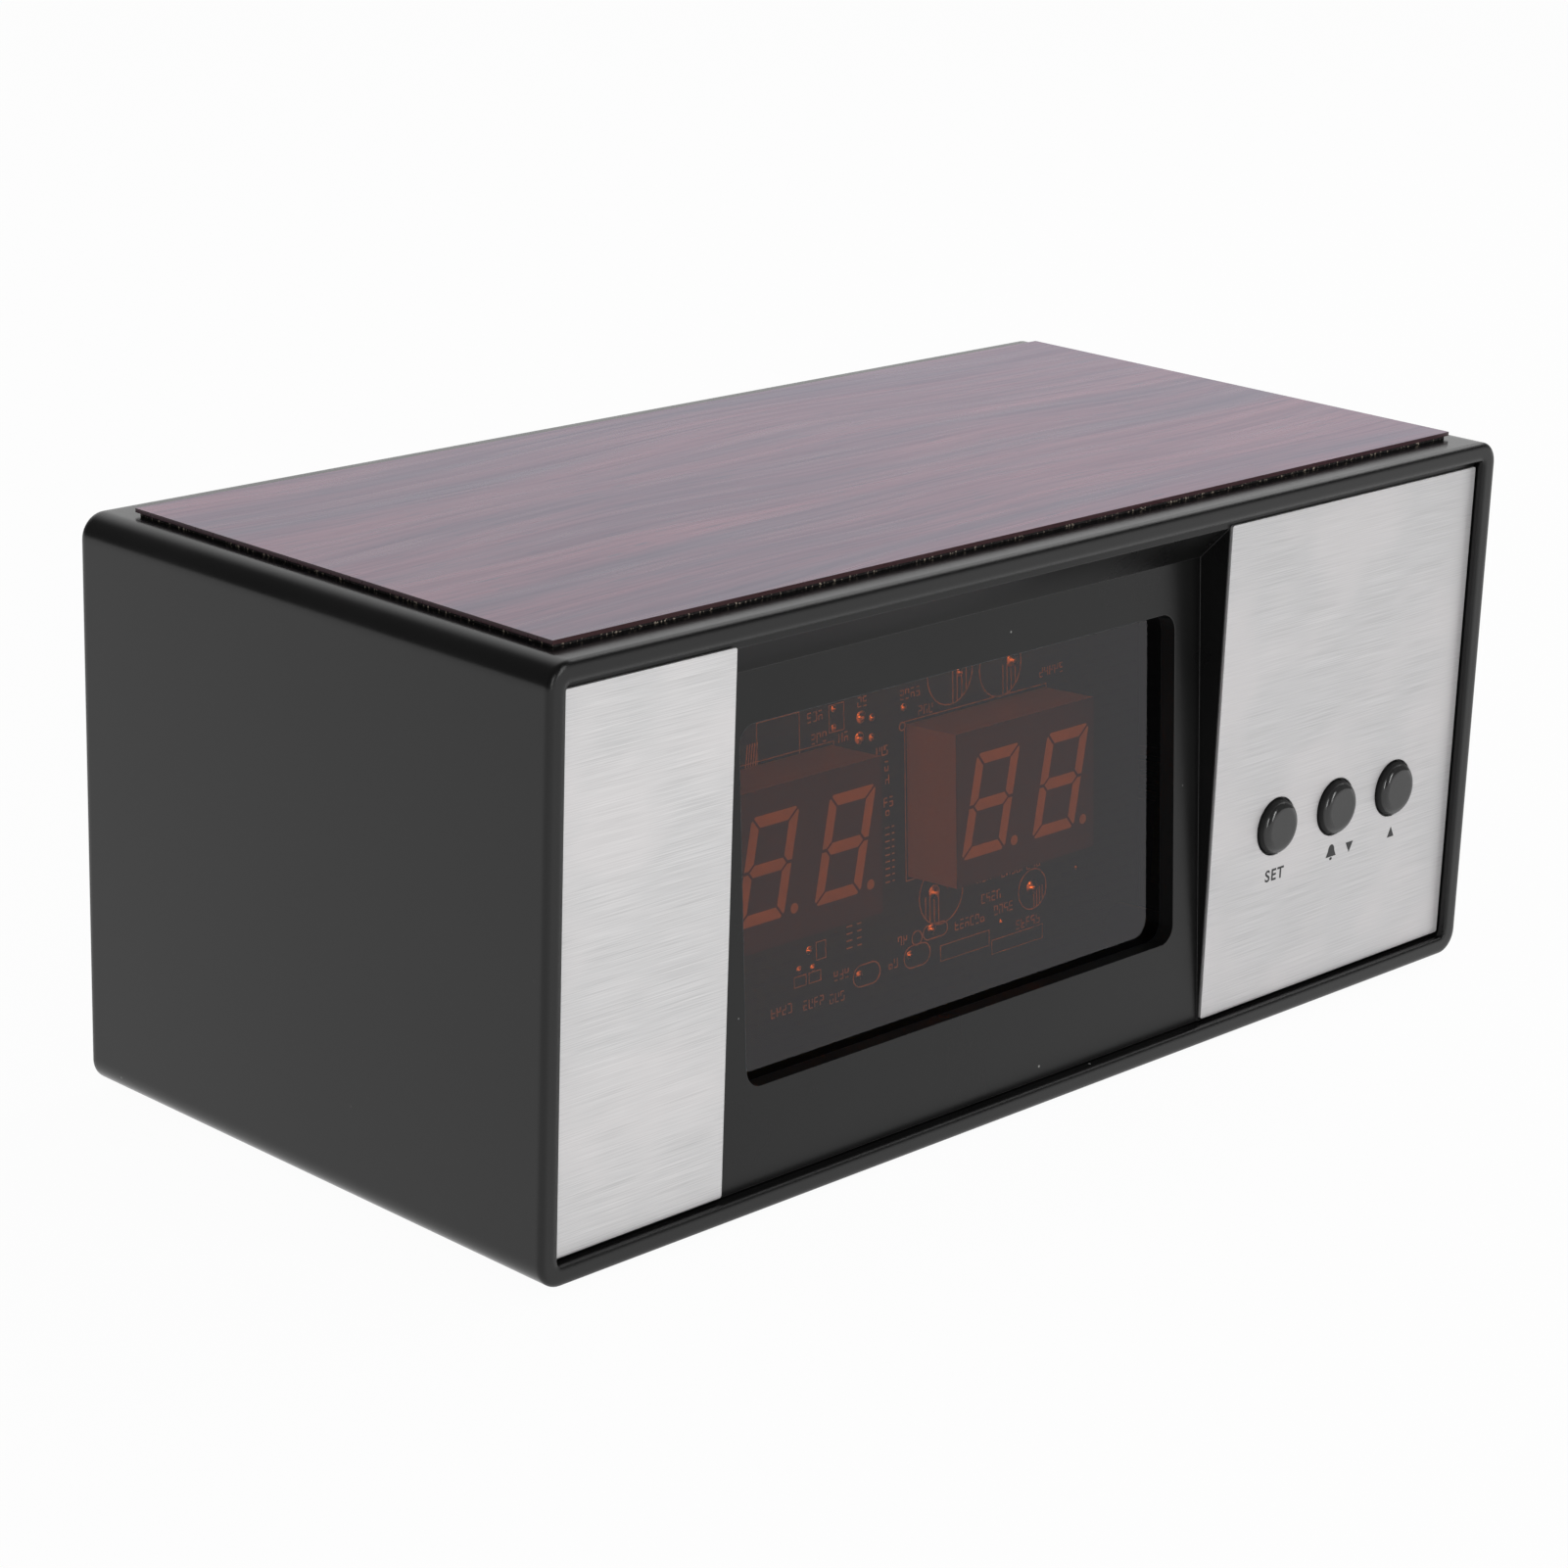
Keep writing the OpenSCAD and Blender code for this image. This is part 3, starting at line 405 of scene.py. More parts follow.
# %% Wood-grain sheet
def wood_laminate(name):
    """A lacquered wood print: bent streaks, fibres and pores along X, and a plain cut edge."""
    material, tree, shader = new_finish(name)
    place = here(tree)
    bend = stretched_noise(tree, place, (9.0, 26.0, 26.0), 1.0)
    shift = add(tree, "CombineXYZ", {"Y": remap(tree, bend, 0.25, 0.75, -5.0 * MM, 5.0 * MM)}).outputs["Vector"]
    bent = add(tree, "VectorMath", {0: place, 1: shift}, operation="ADD").outputs["Vector"]
    streaks = stretched_noise(tree, bent, (9.0, 140.0, 140.0), 3.0)
    fibres = stretched_noise(tree, bent, (40.0, 1500.0, 1500.0), 3.0)
    pores = stretched_noise(tree, bent, (170.0, 3600.0, 3600.0), 1.0)
    shade = banded(tree, streaks, streak_stops)
    shade = mixed(tree, remap(tree, fibres, 0.35, 0.65, 0.0, 0.35), shade, fibre_dark)
    shade = mixed(tree, remap(tree, pores, 0.62, 0.7, 0.0, 0.7), shade, pore_dark)
    upness = add(tree, "SeparateXYZ", {"Vector": add(tree, "NewGeometry").outputs["Normal"]}).outputs["Z"]
    shade = mixed(tree, remap(tree, upness, 0.4, 0.8, 1.0, 0.0), shade, cut_brown)
    plug(tree, shader, Base_Color=shade, Roughness=remap(tree, fibres, 0.3, 0.7, 0.26, 0.34),
         Normal=bumped(tree, pores, 0.06, 0.02 * MM))
    plug(tree, shader, Sheen_Weight=0.25, Sheen_Roughness=0.4, Sheen_Tint=cool_haze)
    plug(tree, shader, Coat_Weight=0.26, Coat_Roughness=0.22)
    return material


dress(wood_laminate("wood_laminate"), "wood_top_panel")

# %% [markdown]
# ## The pad under the sheet
# A strip of black foam tape shows as a rough dark line under the sheet, with pale crumbs of glue in its cells.
# Modelled cells would be far too many for so thin a line, so small cells of a Voronoi texture roughen it.

# %% Foam pad
foam_black = (0.004, 0.004, 0.004)
foam_grey = (0.025, 0.022, 0.022)
glue_crumb = (0.5, 0.42, 0.34)


def foam(name):
    """Black foam: rough small cells, with crumbs of glue in some of them."""
    material, tree, shader = new_finish(name)
    place = here(tree)
    cells = add(tree, "TexVoronoi", {"Vector": place, "Scale": 2600.0}).outputs["Distance"]
    crumbs = noise(tree, place, 2200.0, 3.0)
    tone = mixed(tree, remap(tree, cells, 0.1, 0.8), foam_black, foam_grey)
    tone = mixed(tree, remap(tree, crumbs, 0.58, 0.64), tone, glue_crumb)
    plug(tree, shader, Base_Color=tone, Roughness=0.9, Normal=bumped(tree, cells, 0.8, 0.2 * MM))
    return material


dress(foam("foam_pad"), "panel_pad")

# %% [markdown]
# ## Brushed plates
# Both front plates are aluminium, brushed sideways. Brushing leaves fine parallel scratches. An anisotropic shader
# could stretch the highlight in the same way, but it shows no hairs, so the noise is stretched along X until each
# grain is a hair line. The scratches change the colour, the gloss and the surface a little. The cut edges are
# rough,
# and carry a painted highlight: where the rounded normal turns away from the flat one, the colour goes to white and
# the metal turns plain. The right plate gets a darker copy of the same finish, as painted shade.

# %% Brushed plates
# the white of a painted highlight on the plates' cut edges
cut_edge_highlight_white = (0.98, 0.98, 0.98)
metal_share = 0.45


def brushed(name, colour, roughness):
    """Brushed aluminium: hair lines along X, soft bands and clouds, and a painted highlight on the cut edges."""
    material, tree, shader = new_finish(name)
    place = here(tree)
    hair = stretched_noise(tree, place, (90.0, 7500.0, 7500.0), 3.0)
    band = stretched_noise(tree, place, (16.0, 2200.0, 2200.0), 2.0)
    cloud = stretched_noise(tree, place, (45.0, 45.0, 45.0), 3.0)
    tint = stretched_noise(tree, place, (70.0, 70.0, 90.0), 2.0)
    warm = (colour[0] * 1.01, colour[1] * 0.98, colour[2] * 0.975)
    shade = mixed(tree, remap(tree, hair, 0.32, 0.68), darker(colour, 0.7), colour)
    shade = mixed(tree, remap(tree, band, 0.35, 0.65, 0.0, 0.4), shade, darker(colour, 0.87))
    shade = mixed(tree, remap(tree, cloud, 0.4, 0.7, 0.0, 0.3), shade, darker(colour, 0.93))
    shade = mixed(tree, remap(tree, tint, 0.45, 0.65, 0.0, 0.4), shade, warm)
    rounded = add(tree, "Bevel", {"Radius": 0.2 * MM}, samples=6).outputs["Normal"]
    # painted highlight: the cut edges turn white and lose their metal
    cut = remap(tree, flatness(tree, rounded), 0.8, 0.97, 1.0, 0.0)
    plug(tree, shader, Base_Color=mixed(tree, cut, shade, cut_edge_highlight_white),
         Metallic=remap(tree, cut, 0.0, 1.0, metal_share, 0.0),
         Roughness=remap(tree, hair, 0.3, 0.7, roughness - 0.06, roughness + 0.06),
         Normal=bumped(tree, hair, 0.15, 0.01 * MM, rounded))
    return material


dress(brushed("brushed_left", (0.79, 0.782, 0.785), 0.4), "left_plate")
# painted shade: the right plate is a darker copy of the same finish
dress(brushed("brushed_right_painted_shade", (0.705, 0.697, 0.703), 0.4), "right_plate")

# %% [markdown]
# ## The smoked window
# The window is a sheet of brown tinted acrylic that leans back with the panel. Light that crosses it twice, in to
# the digits and back, comes out deep orange, while its polished front mirrors the white floor as a grey veil.
# One glass shader could do both, but it would mirror on both faces. So bending and mirroring are two shaders here,
# mixed by Fresnel, and only the front half of the sheet mirrors: the rear face of such a filter is bloomed so that
# it does not ghost the digits.

# %% Leaning frame of the display
panel_lean = math.radians(4.0)
inward = Vector((0.0, math.cos(panel_lean), -math.sin(panel_lean)))
upward = Vector((0.0, math.sin(panel_lean), math.cos(panel_lean)))


def middle(name):
    """The middle of a solid's box."""
    low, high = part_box(name)
    return (low + high) / 2


def depth_of(tree, place):
    """How far a point lies inwards, measured square to the leaning panel."""
    return dot(tree, place, inward)


print("display middle in mm:", in_mm(middle("display_board")))

# %% Smoked window
brown_tint = (0.75, 0.47, 0.26)
cool_mirror = (0.97, 0.96, 1.0)
acrylic_ior = 1.49
polish_ior = 1.44
soft_step = 0.1 * MM

lens_finish, tree, shader = new_finish("smoked_acrylic")
tree.nodes.remove(shader)
place = here(tree)
half = inward.dot(middle("window_lens"))
front_half = remap(tree, depth_of(tree, place), half - soft_step, half + soft_step, 1.0, 0.0)
fresnel = add(tree, "Fresnel", {"IOR": polish_ior}).outputs["Fac"]
haze = remap(tree, stretched_noise(tree, place, (60.0, 60.0, 60.0), 4.0), 0.35, 0.7, 0.0, 0.02)
tinted = add(tree, "BsdfRefraction", {"Color": brown_tint, "IOR": acrylic_ior, "Roughness": 0.0})
polish = add(tree, "BsdfAnisotropic", {"Color": cool_mirror, "Roughness": haze})
mirror_share = calc(tree, "MULTIPLY", fresnel, front_half)
sheet = add(tree, "MixShader", {0: mirror_share, 1: tinted.outputs["BSDF"], 2: polish.outputs["BSDF"]})
fill(tree, tree.nodes["Material Output"], {"Surface": sheet.outputs["Shader"]})
dress(lens_finish, "window_lens")

# %% [markdown]
# ## The digit pairs
# Each digit pair is a pale block whose face is painted black round milky bars. The paint is only on the face. It
# could be a thin sheet of its own, but the graph can also measure how deep a point lies behind the leaning panel
# and paint what lies in front, which leaves the block as it is.

# %% Points on the board
board_thick = 1.6 * MM
pair_thick = 8.0 * MM
board_frame = Matrix((Vector((1.0, 0.0, 0.0)), upward, -inward)).transposed().to_4x4()
board_frame.translation = middle("display_board") - inward * (board_thick / 2)


def on_board(u, v, lift=0.0):
    """A point in front of the display board: across and up from its middle, in millimetres, lifted off it."""
    return board_frame @ Vector((u * MM, v * MM, lift))


print("board front in mm:", in_mm(on_board(0.0, 0.0)))

# %% Digit pairs
pale_block = ((0.58, 0.56, 0.54), (0.72, 0.7, 0.67))
black_paint = ((0.012, 0.012, 0.012), (0.022, 0.022, 0.022))
paint_from, paint_to = 0.02 * MM, 0.06 * MM


def digit_block(name):
    """A pale block whose front is painted black."""
    material, tree, shader = new_finish(name)
    place = here(tree)
    face_depth = inward.dot(on_board(0.0, 0.0, pair_thick))
    painted = remap(tree, depth_of(tree, place), face_depth + paint_from, face_depth + paint_to, 1.0, 0.0)
    speckle = noise(tree, place, 2500.0, 2.0)
    shade = mixed(tree, painted, mixed(tree, speckle, *pale_block), mixed(tree, speckle, *black_paint))
    plug(tree, shader, Base_Color=shade, Roughness=0.5, Normal=bumped(tree, speckle, 0.15, 0.02 * MM))
    return material


dress(digit_block("digit_block"), "hour_display", "minute_display")

# %% Bars of the digits
milky_tones = ((0.35, 0.38, 0.35), (0.44, 0.47, 0.43))


def milky(name):
    """Milky resin with faint clouds."""
    material, tree, shader = new_finish(name)
    cloud = stretched_noise(tree, here(tree), (900.0, 900.0, 900.0), 3.0)
    plug(tree, shader, Base_Color=mixed(tree, cloud, *milky_tones), Roughness=0.35,
         Normal=bumped(tree, cloud, 0.1, 0.03 * MM))
    return material


dress(milky("milky_bars"), "hour_segments", "minute_segments")

# %% [markdown]
# ## Boards
# A circuit board is a glass-fibre sheet under green lacquer, with copper runs that stand a little proud of it.
# Every run could be drawn as a path, but behind a dark window they are only a hint, so a brick pattern, whose
# courses read as runs at this size, is enough.

# %% Boards
lacquer_greens = ((0.003, 0.02, 0.01), (0.006, 0.03, 0.014))
run_green = (0.008, 0.04, 0.02)
upright_turn = (math.radians(90.0), 0.0, 0.0)


def lacquered_board(name):
    """A green lacquered board with low copper runs under the lacquer."""
    material, tree, shader = new_finish(name)
    place = here(tree)
    weave = noise(tree, place, 1800.0, 2.0)
    flat = add(tree, "Mapping", {"Vector": place, "Rotation": upright_turn}).outputs["Vector"]
    courses = {"Vector": flat, "Scale": 160.0, "Mortar Size": 0.09, "Mortar Smooth": 0.2}
    runs = add(tree, "TexBrick", courses).outputs["Fac"]
    shade = mixed(tree, runs, mixed(tree, weave, *lacquer_greens), run_green)
    plug(tree, shader, Base_Color=shade, Roughness=0.55, Specular_IOR_Level=0.25,
         Normal=bumped(tree, runs, 0.3, 0.04 * MM))
    return material


dress(lacquered_board("lacquered_board"), "display_board", "button_board")

# %% [markdown]
# ## Metal fittings and small parts
# Screws, legs and cans are plated steel, the inlet pin is brass. The small parts behind the boards are rarely seen
# and one grey could serve for all, but a reader who opens the clock should know each part by its look. So they get
# the finish that such a part has: matt resin, a shiny sleeve, wire insulation. What stands just behind the
# window's right edge, the button cable and its board's screws, is dark, so nothing glints there.


# %% Metal fittings
def plated(name, colour, roughness):
    """Plated metal with fine scratches and a cloudy gloss."""
    material, tree, shader = new_finish(name)
    place = here(tree)
    scratch = stretched_noise(tree, place, (1800.0, 1800.0, 5200.0), 3.0)
    cloud = stretched_noise(tree, place, (220.0, 220.0, 220.0), 3.0)
    plug(tree, shader, Metallic=1.0,
         Base_Color=mixed(tree, remap(tree, cloud, 0.3, 0.7), colour, darker(colour, 0.72)),
         Roughness=remap(tree, cloud, 0.3, 0.7, roughness - 0.06, roughness + 0.1),
         Normal=bumped(tree, scratch, 0.15, 0.01 * MM))
    return material


dress(plated("plated_steel", (0.6, 0.59, 0.57), 0.28), "rear_cover_screws", "display_board_screws",
      "display_pins", "chip_legs", "crystal_can", "backup_cell", "cell_clip", "jack_nut", "jack_terminals")
dress(plated("blackened_steel", (0.04, 0.04, 0.04), 0.4), "button_board_screws")
dress(plated("brass_pin", (0.72, 0.5, 0.2), 0.25), "jack_pin")

# %% Small parts
dress(moulded("black_resin", (0.014, 0.014, 0.015), 0.5), "clock_chip", "transistors", "cell_holder",
      "alarm_buzzer", "power_jack", "switch_bodies")
dress(moulded("capacitor_film", (0.012, 0.014, 0.03), 0.25), "capacitors")
dress(moulded("resistor_coat", (0.42, 0.3, 0.17), 0.45), "resistors")
dress(moulded("cream_nylon", (0.62, 0.59, 0.5), 0.45), "power_plug", "cable_plugs")
dress(moulded("red_insulation", (0.45, 0.02, 0.02), 0.4), "power_wire_plus")
dress(moulded("black_insulation", (0.01, 0.01, 0.01), 0.4), "power_wire_minus")
dress(moulded("dark_grey_insulation", (0.012, 0.012, 0.012), 0.4), "button_cable")

# %% [markdown]
# ## Node trees that grow a mesh
# What repeats or follows a path is best left to Geometry Nodes: a tree with named sizes grows it from a few seed
# points and edges. Python loops could lay every face too, but a size that is changed in a tree changes every copy.
# These helpers start a tree, end it, run it once on its seeds, and keep the plain mesh that comes out.


# %% Start and end of a tree
def size_tree(name, **sizes):
    """A new geometry tree with a named input for each size, what it is given, and its output node."""
    tree = bpy.data.node_groups.new(name, "GeometryNodeTree")
    tree.interface.new_socket("Geometry", in_out="INPUT", socket_type="NodeSocketGeometry")
    for key, value in sizes.items():
        socket = tree.interface.new_socket(key, in_out="INPUT", socket_type="NodeSocketFloat")
        socket.default_value = value
    tree.interface.new_socket("Geometry", in_out="OUTPUT", socket_type="NodeSocketGeometry")
    return tree, tree.nodes.new("NodeGroupInput").outputs, tree.nodes.new("NodeGroupOutput")


def step(tree, kind, inputs=None, **settings):
    """A new geometry node, by the short name of its kind."""
    return put(tree, "GeometryNode" + kind, inputs, **settings)


def close_tree(tree, shape, finish, end):
    """Ends a tree: plain geometry with its finish."""
    plain = step(tree, "RealizeInstances", {"Geometry": shape}).outputs[0]
    dressed = step(tree, "SetMaterial", {"Geometry": plain, "Material": finish}).outputs[0]
    tree.links.new(dressed, end.inputs[0])


print("tree helpers ready")


# %% Mesh and piece from a tree
def baked(maker):
    """The plain mesh of an object as it is evaluated."""
    graph = bpy.context.evaluated_depsgraph_get()
    return bpy.data.meshes.new_from_object(maker.evaluated_get(graph), depsgraph=graph)


def grown(name, points, edges, tree, radii=None, **sizes):
    """The plain mesh that a tree grows from points and edges."""
    seed_mesh = bpy.data.meshes.new(name + "_seed")
    seed_mesh.from_pydata(points, edges, [])
    if radii:
        seed_mesh.attributes.new("radius", "FLOAT", "POINT").data.foreach_set("value", radii)
    maker = bpy.data.objects.new(name + "_maker", seed_mesh)
    scene.collection.objects.link(maker)
    modifier = maker.modifiers.new("grow", "NODES")
    modifier.node_group = tree
    for item in tree.interface.items_tree:
        if item.in_out == "INPUT" and item.name in sizes:
            modifier[item.identifier] = sizes[item.name]
    mesh = baked(maker)
    maker.modifiers.clear()
    bpy.data.objects.remove(maker)
    return mesh


def settle(name, mesh, body):
    """A finished piece: its mesh as an object that rides on a body."""
    mesh.name = name
    made = bpy.data.objects.new(name, mesh)
    scene.collection.objects.link(made)
    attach(made, body)
    print(name, "faces:", len(mesh.polygons))


print("mesh helpers ready")

# %% [markdown]
# ## Print on the display board
# The front of the board carries white printed outlines of the parts behind it, and short rows of marks beside them.
# The print could be painted by the board's material, but a thin line stays sharp only as a shape of its own. It
# follows paths, so a node tree turns every path into a flat ribbon of ink. The paths are drawn flat, in millimetres
# across and up from the board's middle, and laid on the leaning board at the end. The rows of marks are loose
# strokes and say nothing.

# %% Straight paths
points, edges = [], []


def path(*places, closed=False):
    """Adds one path through places on the board, in millimetres."""
    first = len(points)
    points.extend((u * MM, v * MM, 0.0) for u, v in places)
    last = len(points) - 1
    edges.extend((i, i + 1) for i in range(first, last))
    if closed:
        edges.append((last, first))


def frame_path(u0, v0, u1, v1):
    """A rectangle between two corners."""
    path((u0, v0), (u1, v0), (u1, v1), (u0, v1), closed=True)


def comb_path(start, end, shift_u, shift_v, count):
    """The same stroke again and again, each one shifted from the last."""
    for i in range(count):
        path(*[(u + shift_u * i, v + shift_v * i) for u, v in (start, end)])


boxes = (
    (6.1, -9.3, 31.8, 10.6), (-31.8, -9.3, -6.1, 10.6), (12.1, -20.9, 21.0, -18.9), (21.5, -22.2, 31.0, -20.4),
    (-6.8, 11.7, -4.3, 15.0), (-18.8, 8.5, -11.8, 15.2), (-13.4, -18.2, -11.4, -16.9),
    (-10.9, -18.2, -8.9, -16.9), (-9.6, -15.6, -8.0, -13.4),
)
for box in boxes:
    frame_path(*box)
comb_path((-20.8, 9.4), (-20.3, 12.9), shift_u=0.4, shift_v=0.0, count=5)
comb_path((-4.4, -11.8), (-3.4, -11.8), shift_u=0.0, shift_v=-0.9, count=5)
comb_path((-2.6, -11.8), (-1.8, -11.8), shift_u=0.0, shift_v=-0.9, count=5)
comb_path((2.5, -1.9), (3.3, -1.9), shift_u=0.0, shift_v=-0.85, count=9)
comb_path((3.7, -1.9), (4.1, -1.9), shift_u=0.0, shift_v=-0.85, count=9)
print("straight paths:", len(edges), "strokes")


# %% Round paths
def arc(u, v, wide, tall, angles):
    """Points on an oval about a middle, at the given angles."""
    return [(u + wide * math.cos(angle), v + tall * math.sin(angle)) for angle in angles]


def ring_path(u, v, radius, count=28):
    """A circle."""
    path(*arc(u, v, radius, radius, [2 * math.pi * i / count for i in range(count)]), closed=True)


def capsule_path(u, v, width, height):
    """A rounded outline, as printed round a small disc capacitor."""
    radius = height / 2
    right = arc(u + width / 2 - radius, v, radius, radius, [math.pi * (i / 8 - 0.5) for i in range(9)])
    path(*right, *[(2 * u - x, 2 * v - y) for x, y in right], closed=True)


def can_path(u, v, radius, side, count=4):
    """A can's circle with one half ruled, side 1 for the right half and -1 for the left."""
    ring_path(u, v, radius)
    for i in range(count):
        across = side * radius * (0.12 + 0.2 * i)
        down = math.sqrt(radius**2 - across**2)
        path((u + across, v + 0.1), (u + across, v - down))


for can in ((14.2, 15.2, 4.0, 1), (23.3, 14.3, 3.8, 1), (12.3, -12.2, 3.9, -1), (29.1, -15.4, 2.6, 1)):
    can_path(*can)
for capsule in ((-1.0, -19.4, 4.7, 2.7), (7.9, -19.1, 4.7, 2.8), (11.2, -16.7, 4.4, 1.8)):
    capsule_path(*capsule)
for ring in ((7.9, -16.9, 0.9), (5.7, 10.1, 0.5)):
    ring_path(*ring)
print("with round paths:", len(edges), "strokes")

# %% Rows of marks
chance = random.Random(11)
cell_strokes = (
    ((0, 1), (1, 1)), ((1, 1), (1, 0.5)), ((1, 0.5), (1, 0)), ((0, 0), (1, 0)),
    ((0, 0), (0, 0.5)), ((0, 0.5), (0, 1)), ((0, 0.5), (1, 0.5)),
)
strokes_each = 4
mark_height = 1.1
mark_width = 0.5 * mark_height
mark_pitch = 0.85 * mark_height


def stroke_row(u, v, count):
    """A row of small marks, each made of some loose strokes of a cell."""
    for i in range(count):
        left = u + i * mark_pitch
        for ends in chance.sample(cell_strokes, strokes_each):
            path(*[(left + x * mark_width, v + y * mark_height) for x, y in ends])


rows = (
    (-17.3, -21.0, 4), (-11.9, -21.3, 4), (-7.4, -21.6, 3), (2.5, 7.2, 1), (2.6, 5.2, 1), (2.7, 3.5, 1),
    (2.4, 0.7, 2), (2.7, -0.9, 1), (-1.9, 13.9, 2), (-5.2, 10.2, 2), (-9.8, 10.9, 3), (1.2, 7.2, 2),
    (-10.4, 13.6, 3), (5.4, 13.4, 4), (8.6, 10.9, 3), (30.6, 11.6, 5), (23.4, -12.6, 9), (18.9, -12.4, 3),
    (19.7, -15.2, 4), (22.0, -17.2, 4), (26.1, -20.0, 5), (14.8, -17.5, 6), (4.6, -17.2, 2), (2.9, -19.7, 2),
    (-6.6, -18.9, 3),
)
for row in rows:
    stroke_row(*row)
print("print paths:", len(edges), "strokes")


# %% Ink of the print
def mottled(name, scale, tones, roughness):
    """Print colour that covers unevenly."""
    material, tree, shader = new_finish(name)
    mottle = stretched_noise(tree, here(tree), (scale, scale, scale), 2.0)
    plug(tree, shader, Base_Color=mixed(tree, mottle, *tones), Roughness=roughness)
    return material


ink = mottled("board_print", 2500.0, ((0.5, 0.49, 0.46), (0.72, 0.71, 0.68)), 0.6)
print("ink:", ink.name)

# %% Ribbons of ink
ink_width = 0.17 * MM
ink_thick = 0.03 * MM
ink_lift = 0.02 * MM

ribbon_tree, given, end = size_tree("print_ribbon", Width=ink_width, Thickness=ink_thick)
curve = step(ribbon_tree, "MeshToCurve", {"Mesh": given["Geometry"]}).outputs[0]
upright = step(ribbon_tree, "SetCurveNormal", {"Curve": curve}, mode="Z_UP").outputs[0]
section_sizes = {"Width": given["Width"], "Height": given["Thickness"]}
section = step(ribbon_tree, "CurvePrimitiveQuadrilateral", section_sizes).outputs[0]
swept = {"Curve": upright, "Profile Curve": section, "Fill Caps": True}
close_tree(ribbon_tree, step(ribbon_tree, "CurveToMesh", swept).outputs[0], ink, end)

ink_mesh = grown("board_ink", points, edges, ribbon_tree, Width=ink_width, Thickness=ink_thick)
ink_mesh.transform(board_frame @ Matrix.Translation((0.0, 0.0, ink_lift)))
settle("board_ink", ink_mesh, "case")

# %% [markdown]
# ## Solder on the display board
# Where leads come through the board, solder climbs them in small hollow cones. They could be modelled one by one,
# but they differ only in size, so a tree repeats one cone on a list of points that each have their own radius. The
# cone is one unit high and wide. Raising its height to a power hollows its side.

# %% Solder cone
bead_height = 0.5
bead_hollow = 1.6

bead_tree, given, end = size_tree("solder_beads", Height=bead_height, Hollow=bead_hollow)
cone_sizes = {"Vertices": 28, "Side Segments": 8, "Radius Top": 0.25, "Radius Bottom": 1.0, "Depth": 1.0}
cone = step(bead_tree, "MeshCone", cone_sizes).outputs
at = add(bead_tree, "SeparateXYZ", {"Vector": step(bead_tree, "InputPosition").outputs[0]}).outputs
hollow = calc(bead_tree, "POWER", at["Z"], given["Hollow"])
drawn_in = add(bead_tree, "CombineXYZ", {"X": at["X"], "Y": at["Y"], "Z": hollow}).outputs[0]
fillet = step(bead_tree, "SetPosition", {"Geometry": cone["Mesh"], "Position": drawn_in}).outputs[0]
smooth = step(bead_tree, "SetShadeSmooth", {"Geometry": fillet, "Selection": cone["Side"]}).outputs[0]
print("solder cone: height", bead_height, "of its radius")

# %% Solder points
solder, tree, shader = new_finish("solder")
frost = stretched_noise(tree, here(tree), (1500.0, 1500.0, 1500.0), 3.0)
plug(tree, shader, Base_Color=mixed(tree, frost, (0.72, 0.7, 0.66), (0.86, 0.85, 0.82)), Metallic=1.0,
     Roughness=remap(tree, frost, 0.3, 0.7, 0.2, 0.32))

radius = step(bead_tree, "InputNamedAttribute", {"Name": "radius"}, data_type="FLOAT").outputs["Attribute"]
tall = calc(bead_tree, "MULTIPLY", radius, given["Height"])
spread = add(bead_tree, "CombineXYZ", {"X": radius, "Y": radius, "Z": tall}).outputs[0]
copies = {"Points": given["Geometry"], "Instance": smooth, "Scale": spread}
close_tree(bead_tree, step(bead_tree, "InstanceOnPoints", copies).outputs[0], solder, end)

spots = (
    (16.0, 14.9, 0.6), (25.6, 14.7, 1.1), (11.1, -11.8, 1.0), (13.9, -11.5, 0.6), (29.1, -15.2, 1.1),
    (-2.3, -19.2, 0.6), (6.6, -18.8, 0.6), (10.6, -16.4, 0.8), (-10.8, -14.1, 0.55), (-12.5, -16.1, 0.5),
    (-10.2, -16.4, 0.5), (-1.4, 12.6, 0.8), (0.5, 12.2, 0.5), (-1.7, 10.1, 0.8), (0.4, 9.8, 0.5),
    (-6.0, 14.5, 0.45), (-6.0, 12.2, 0.45), (6.0, 12.4, 0.5), (37.5, -14.4, 0.35), (23.3, -18.4, 0.45),
)
bead_points = [(u * MM, v * MM, 0.0) for u, v, _ in spots]
bead_radii = [r * MM for _, _, r in spots]
solder_mesh = grown("solder_beads", bead_points, [], bead_tree, bead_radii, Height=bead_height, Hollow=bead_hollow)
solder_mesh.transform(board_frame)
settle("solder_beads", solder_mesh, "case")

# %% [markdown]
# ## Marks under the caps
# Each cap has a small printed mark below it: a word for setting the time, a bell with an arrow down, and an
# arrow up. They could be painted by the plate's material, but its brushing would then have to leave them out. So
# they are flat shapes two hundredths of a millimetre thick, drawn in the plane of the plate.

# %% Shapes of the marks
mark_thick = 0.02 * MM


def flat_shape(shape, outline):
    """Adds a closed outline, in millimetres, to a mesh as a thin slab."""
    low = [shape.verts.new((x * MM, z * MM, 0.0)) for x, z in outline]
    high = [shape.verts.new((x * MM, z * MM, mark_thick)) for x, z in outline]
    shape.faces.new(low[::-1])
    shape.faces.new(high)
    for i in range(len(outline)):
        j = (i + 1) % len(outline)
        shape.faces.new((low[i], low[j], high[j], high[i]))


def arrow(shape, x, base, tip, half_width):
    """A triangle with a level base, pointing to its tip."""
    flat_shape(shape, [(x - half_width, base), (x + half_width, base), (x, tip)])


def bell(shape, x, z):
    """A bell: a dome over a wide rim, and its clapper."""
    dome = arc(x, z + 0.4, 0.65, 0.85, [math.pi * i / 10 for i in range(11)])
    flat_shape(shape, [(x - 1.05, z - 0.4), (x + 1.05, z - 0.4), *dome])
    flat_shape(shape, arc(x, z - 0.68, 0.28, 0.2, [math.pi * i / 6 for i in range(12)]))


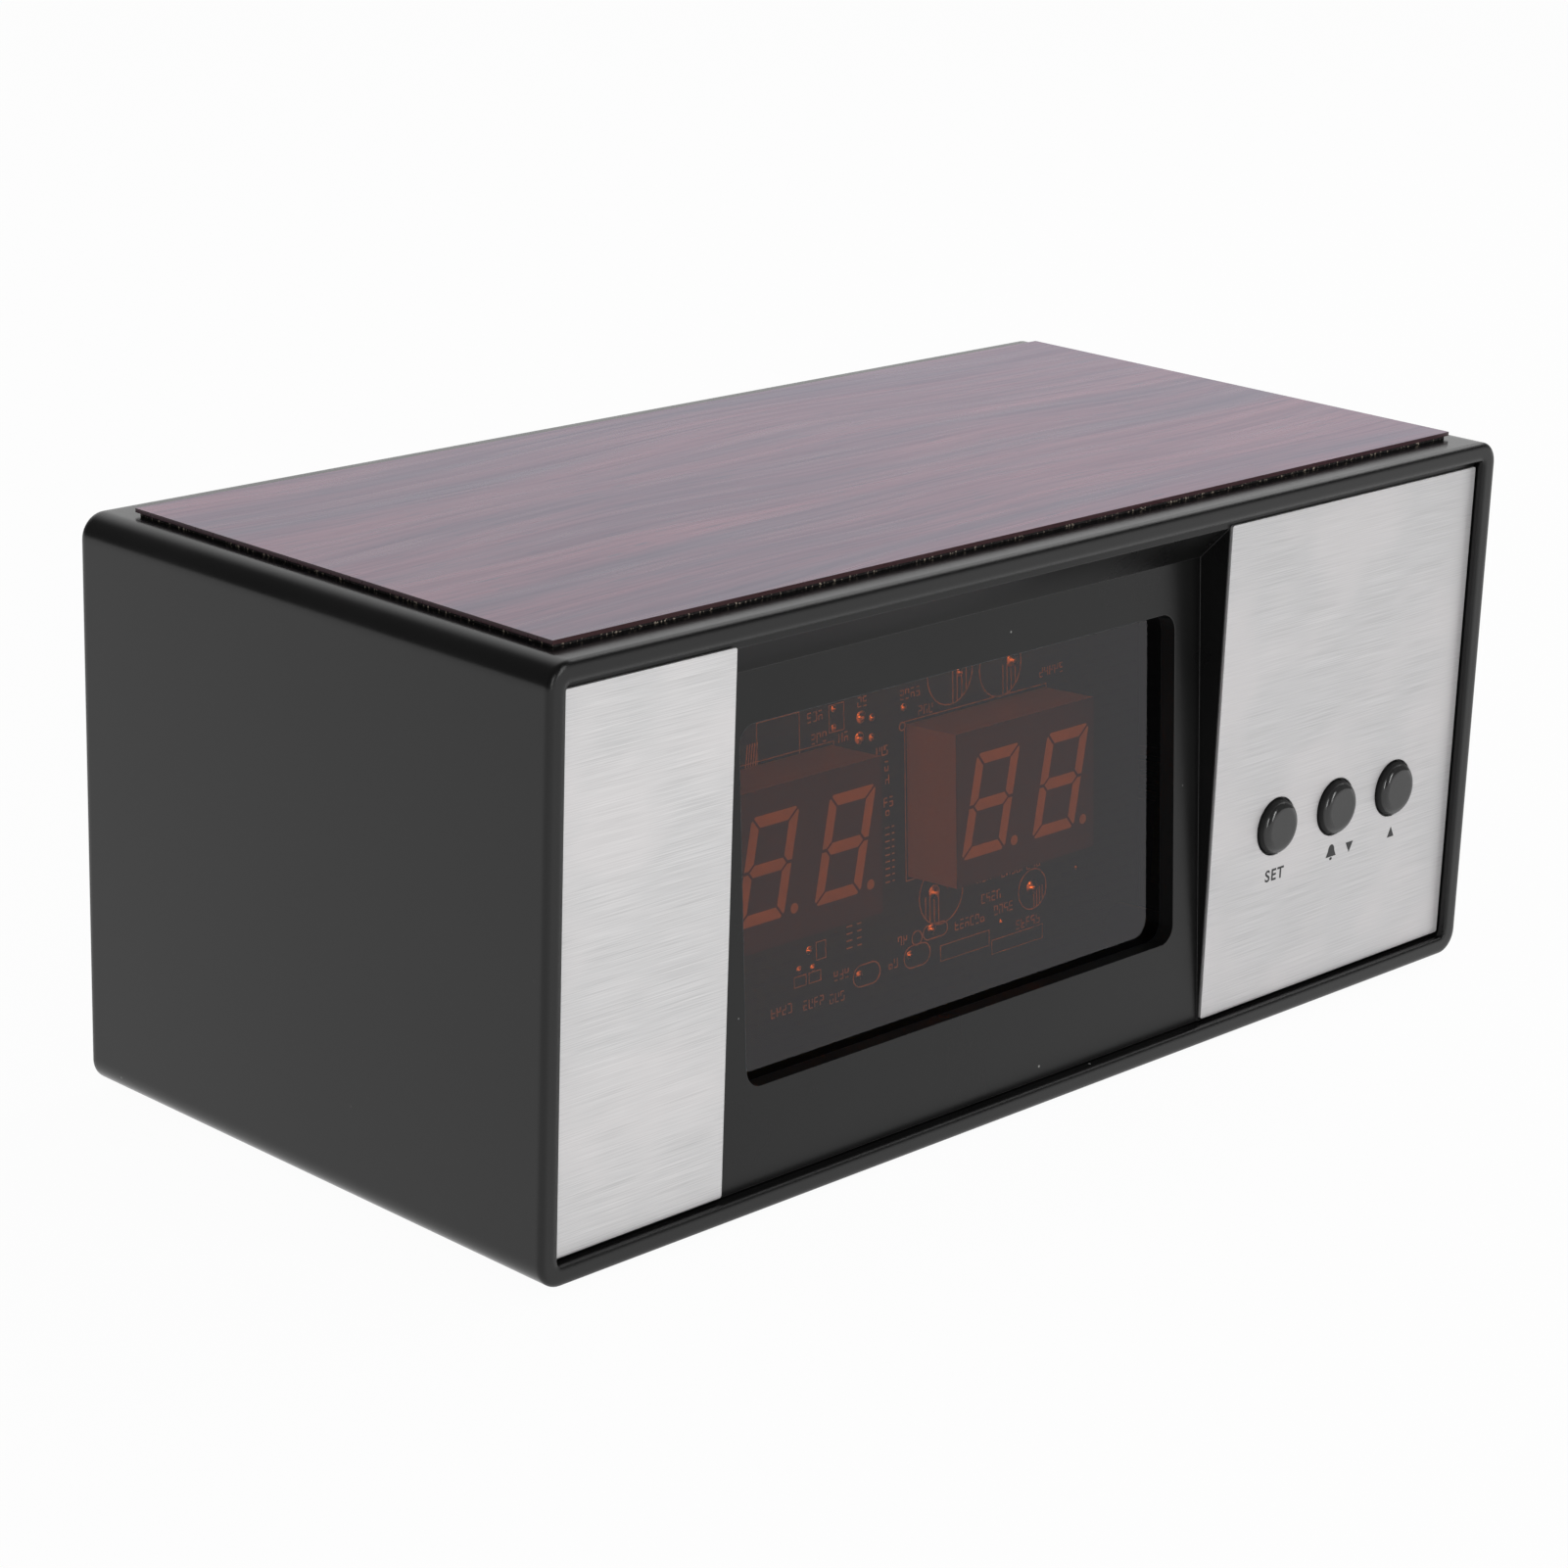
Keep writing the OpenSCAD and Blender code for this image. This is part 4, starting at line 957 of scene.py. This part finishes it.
print("marks in mm thick:", in_mm([mark_thick]))

# %% Word
letter_height = 1.5 * MM
capital_share = 0.7  # a capital letter's height in the font's size
stroke_gain = 0.045 * MM


def word(text, height):
    """A word as a mesh: letters of the given height, standing on zero and centred."""
    letters = bpy.data.curves.new(text, "FONT")
    letters.body = text
    letters.align_x = "CENTER"
    letters.size = height / capital_share
    letters.space_character = 1.2
    letters.offset = stroke_gain
    letters.extrude = mark_thick / 2
    maker = bpy.data.objects.new(text, letters)
    scene.collection.objects.link(maker)
    mesh = baked(maker)
    bpy.data.objects.remove(maker)
    return mesh


set_word = word("SET", letter_height)
print("word faces:", len(set_word.polygons))


# %% Marks on the right plate
def below(name, drop):
    """The place under a cap, in millimetres across and up."""
    return middle(name).x / MM, middle(name).z / MM - drop


marks = bmesh.new()
x, z = below("set_button", drop=7.2)
set_word.transform(Matrix.Translation(((x + 0.3) * MM, z * MM, mark_thick / 2)))
marks.from_mesh(set_word)
x, z = below("down_button", drop=6.3)
bell(marks, x - 0.2, z)
arrow(marks, x + 3.6, base=z + 0.8, tip=z - 0.6, half_width=0.75)
x, z = below("up_button", drop=6.1)
arrow(marks, x + 0.3, base=z - 0.65, tip=z + 0.75, half_width=0.7)
marks_mesh = bpy.data.meshes.new("cap_marks")
bmesh.ops.recalc_face_normals(marks, faces=marks.faces)
marks.to_mesh(marks_mesh)
marks.free()

plate_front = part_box("right_plate")[0].y
plate_frame = Matrix.Translation((0.0, plate_front, 0.0)) @ Matrix.Rotation(math.radians(90.0), 4, "X")
marks_mesh.transform(plate_frame)
marks_mesh.materials.clear()
marks_mesh.materials.append(mottled("dark_print", 3000.0, ((0.015, 0.015, 0.016), (0.035, 0.035, 0.036)), 0.55))
settle("cap_marks", marks_mesh, "case")

# %% [markdown]
# ## Sizes and finish
# Print and finishes must not make the clock any bigger than its solids. Both boxes are printed, so that they
# can be compared.

# %% Sizes and finish
visual_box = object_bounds()
print("visual box in mm:", in_mm(high - low for low, high in zip(*visual_box)))
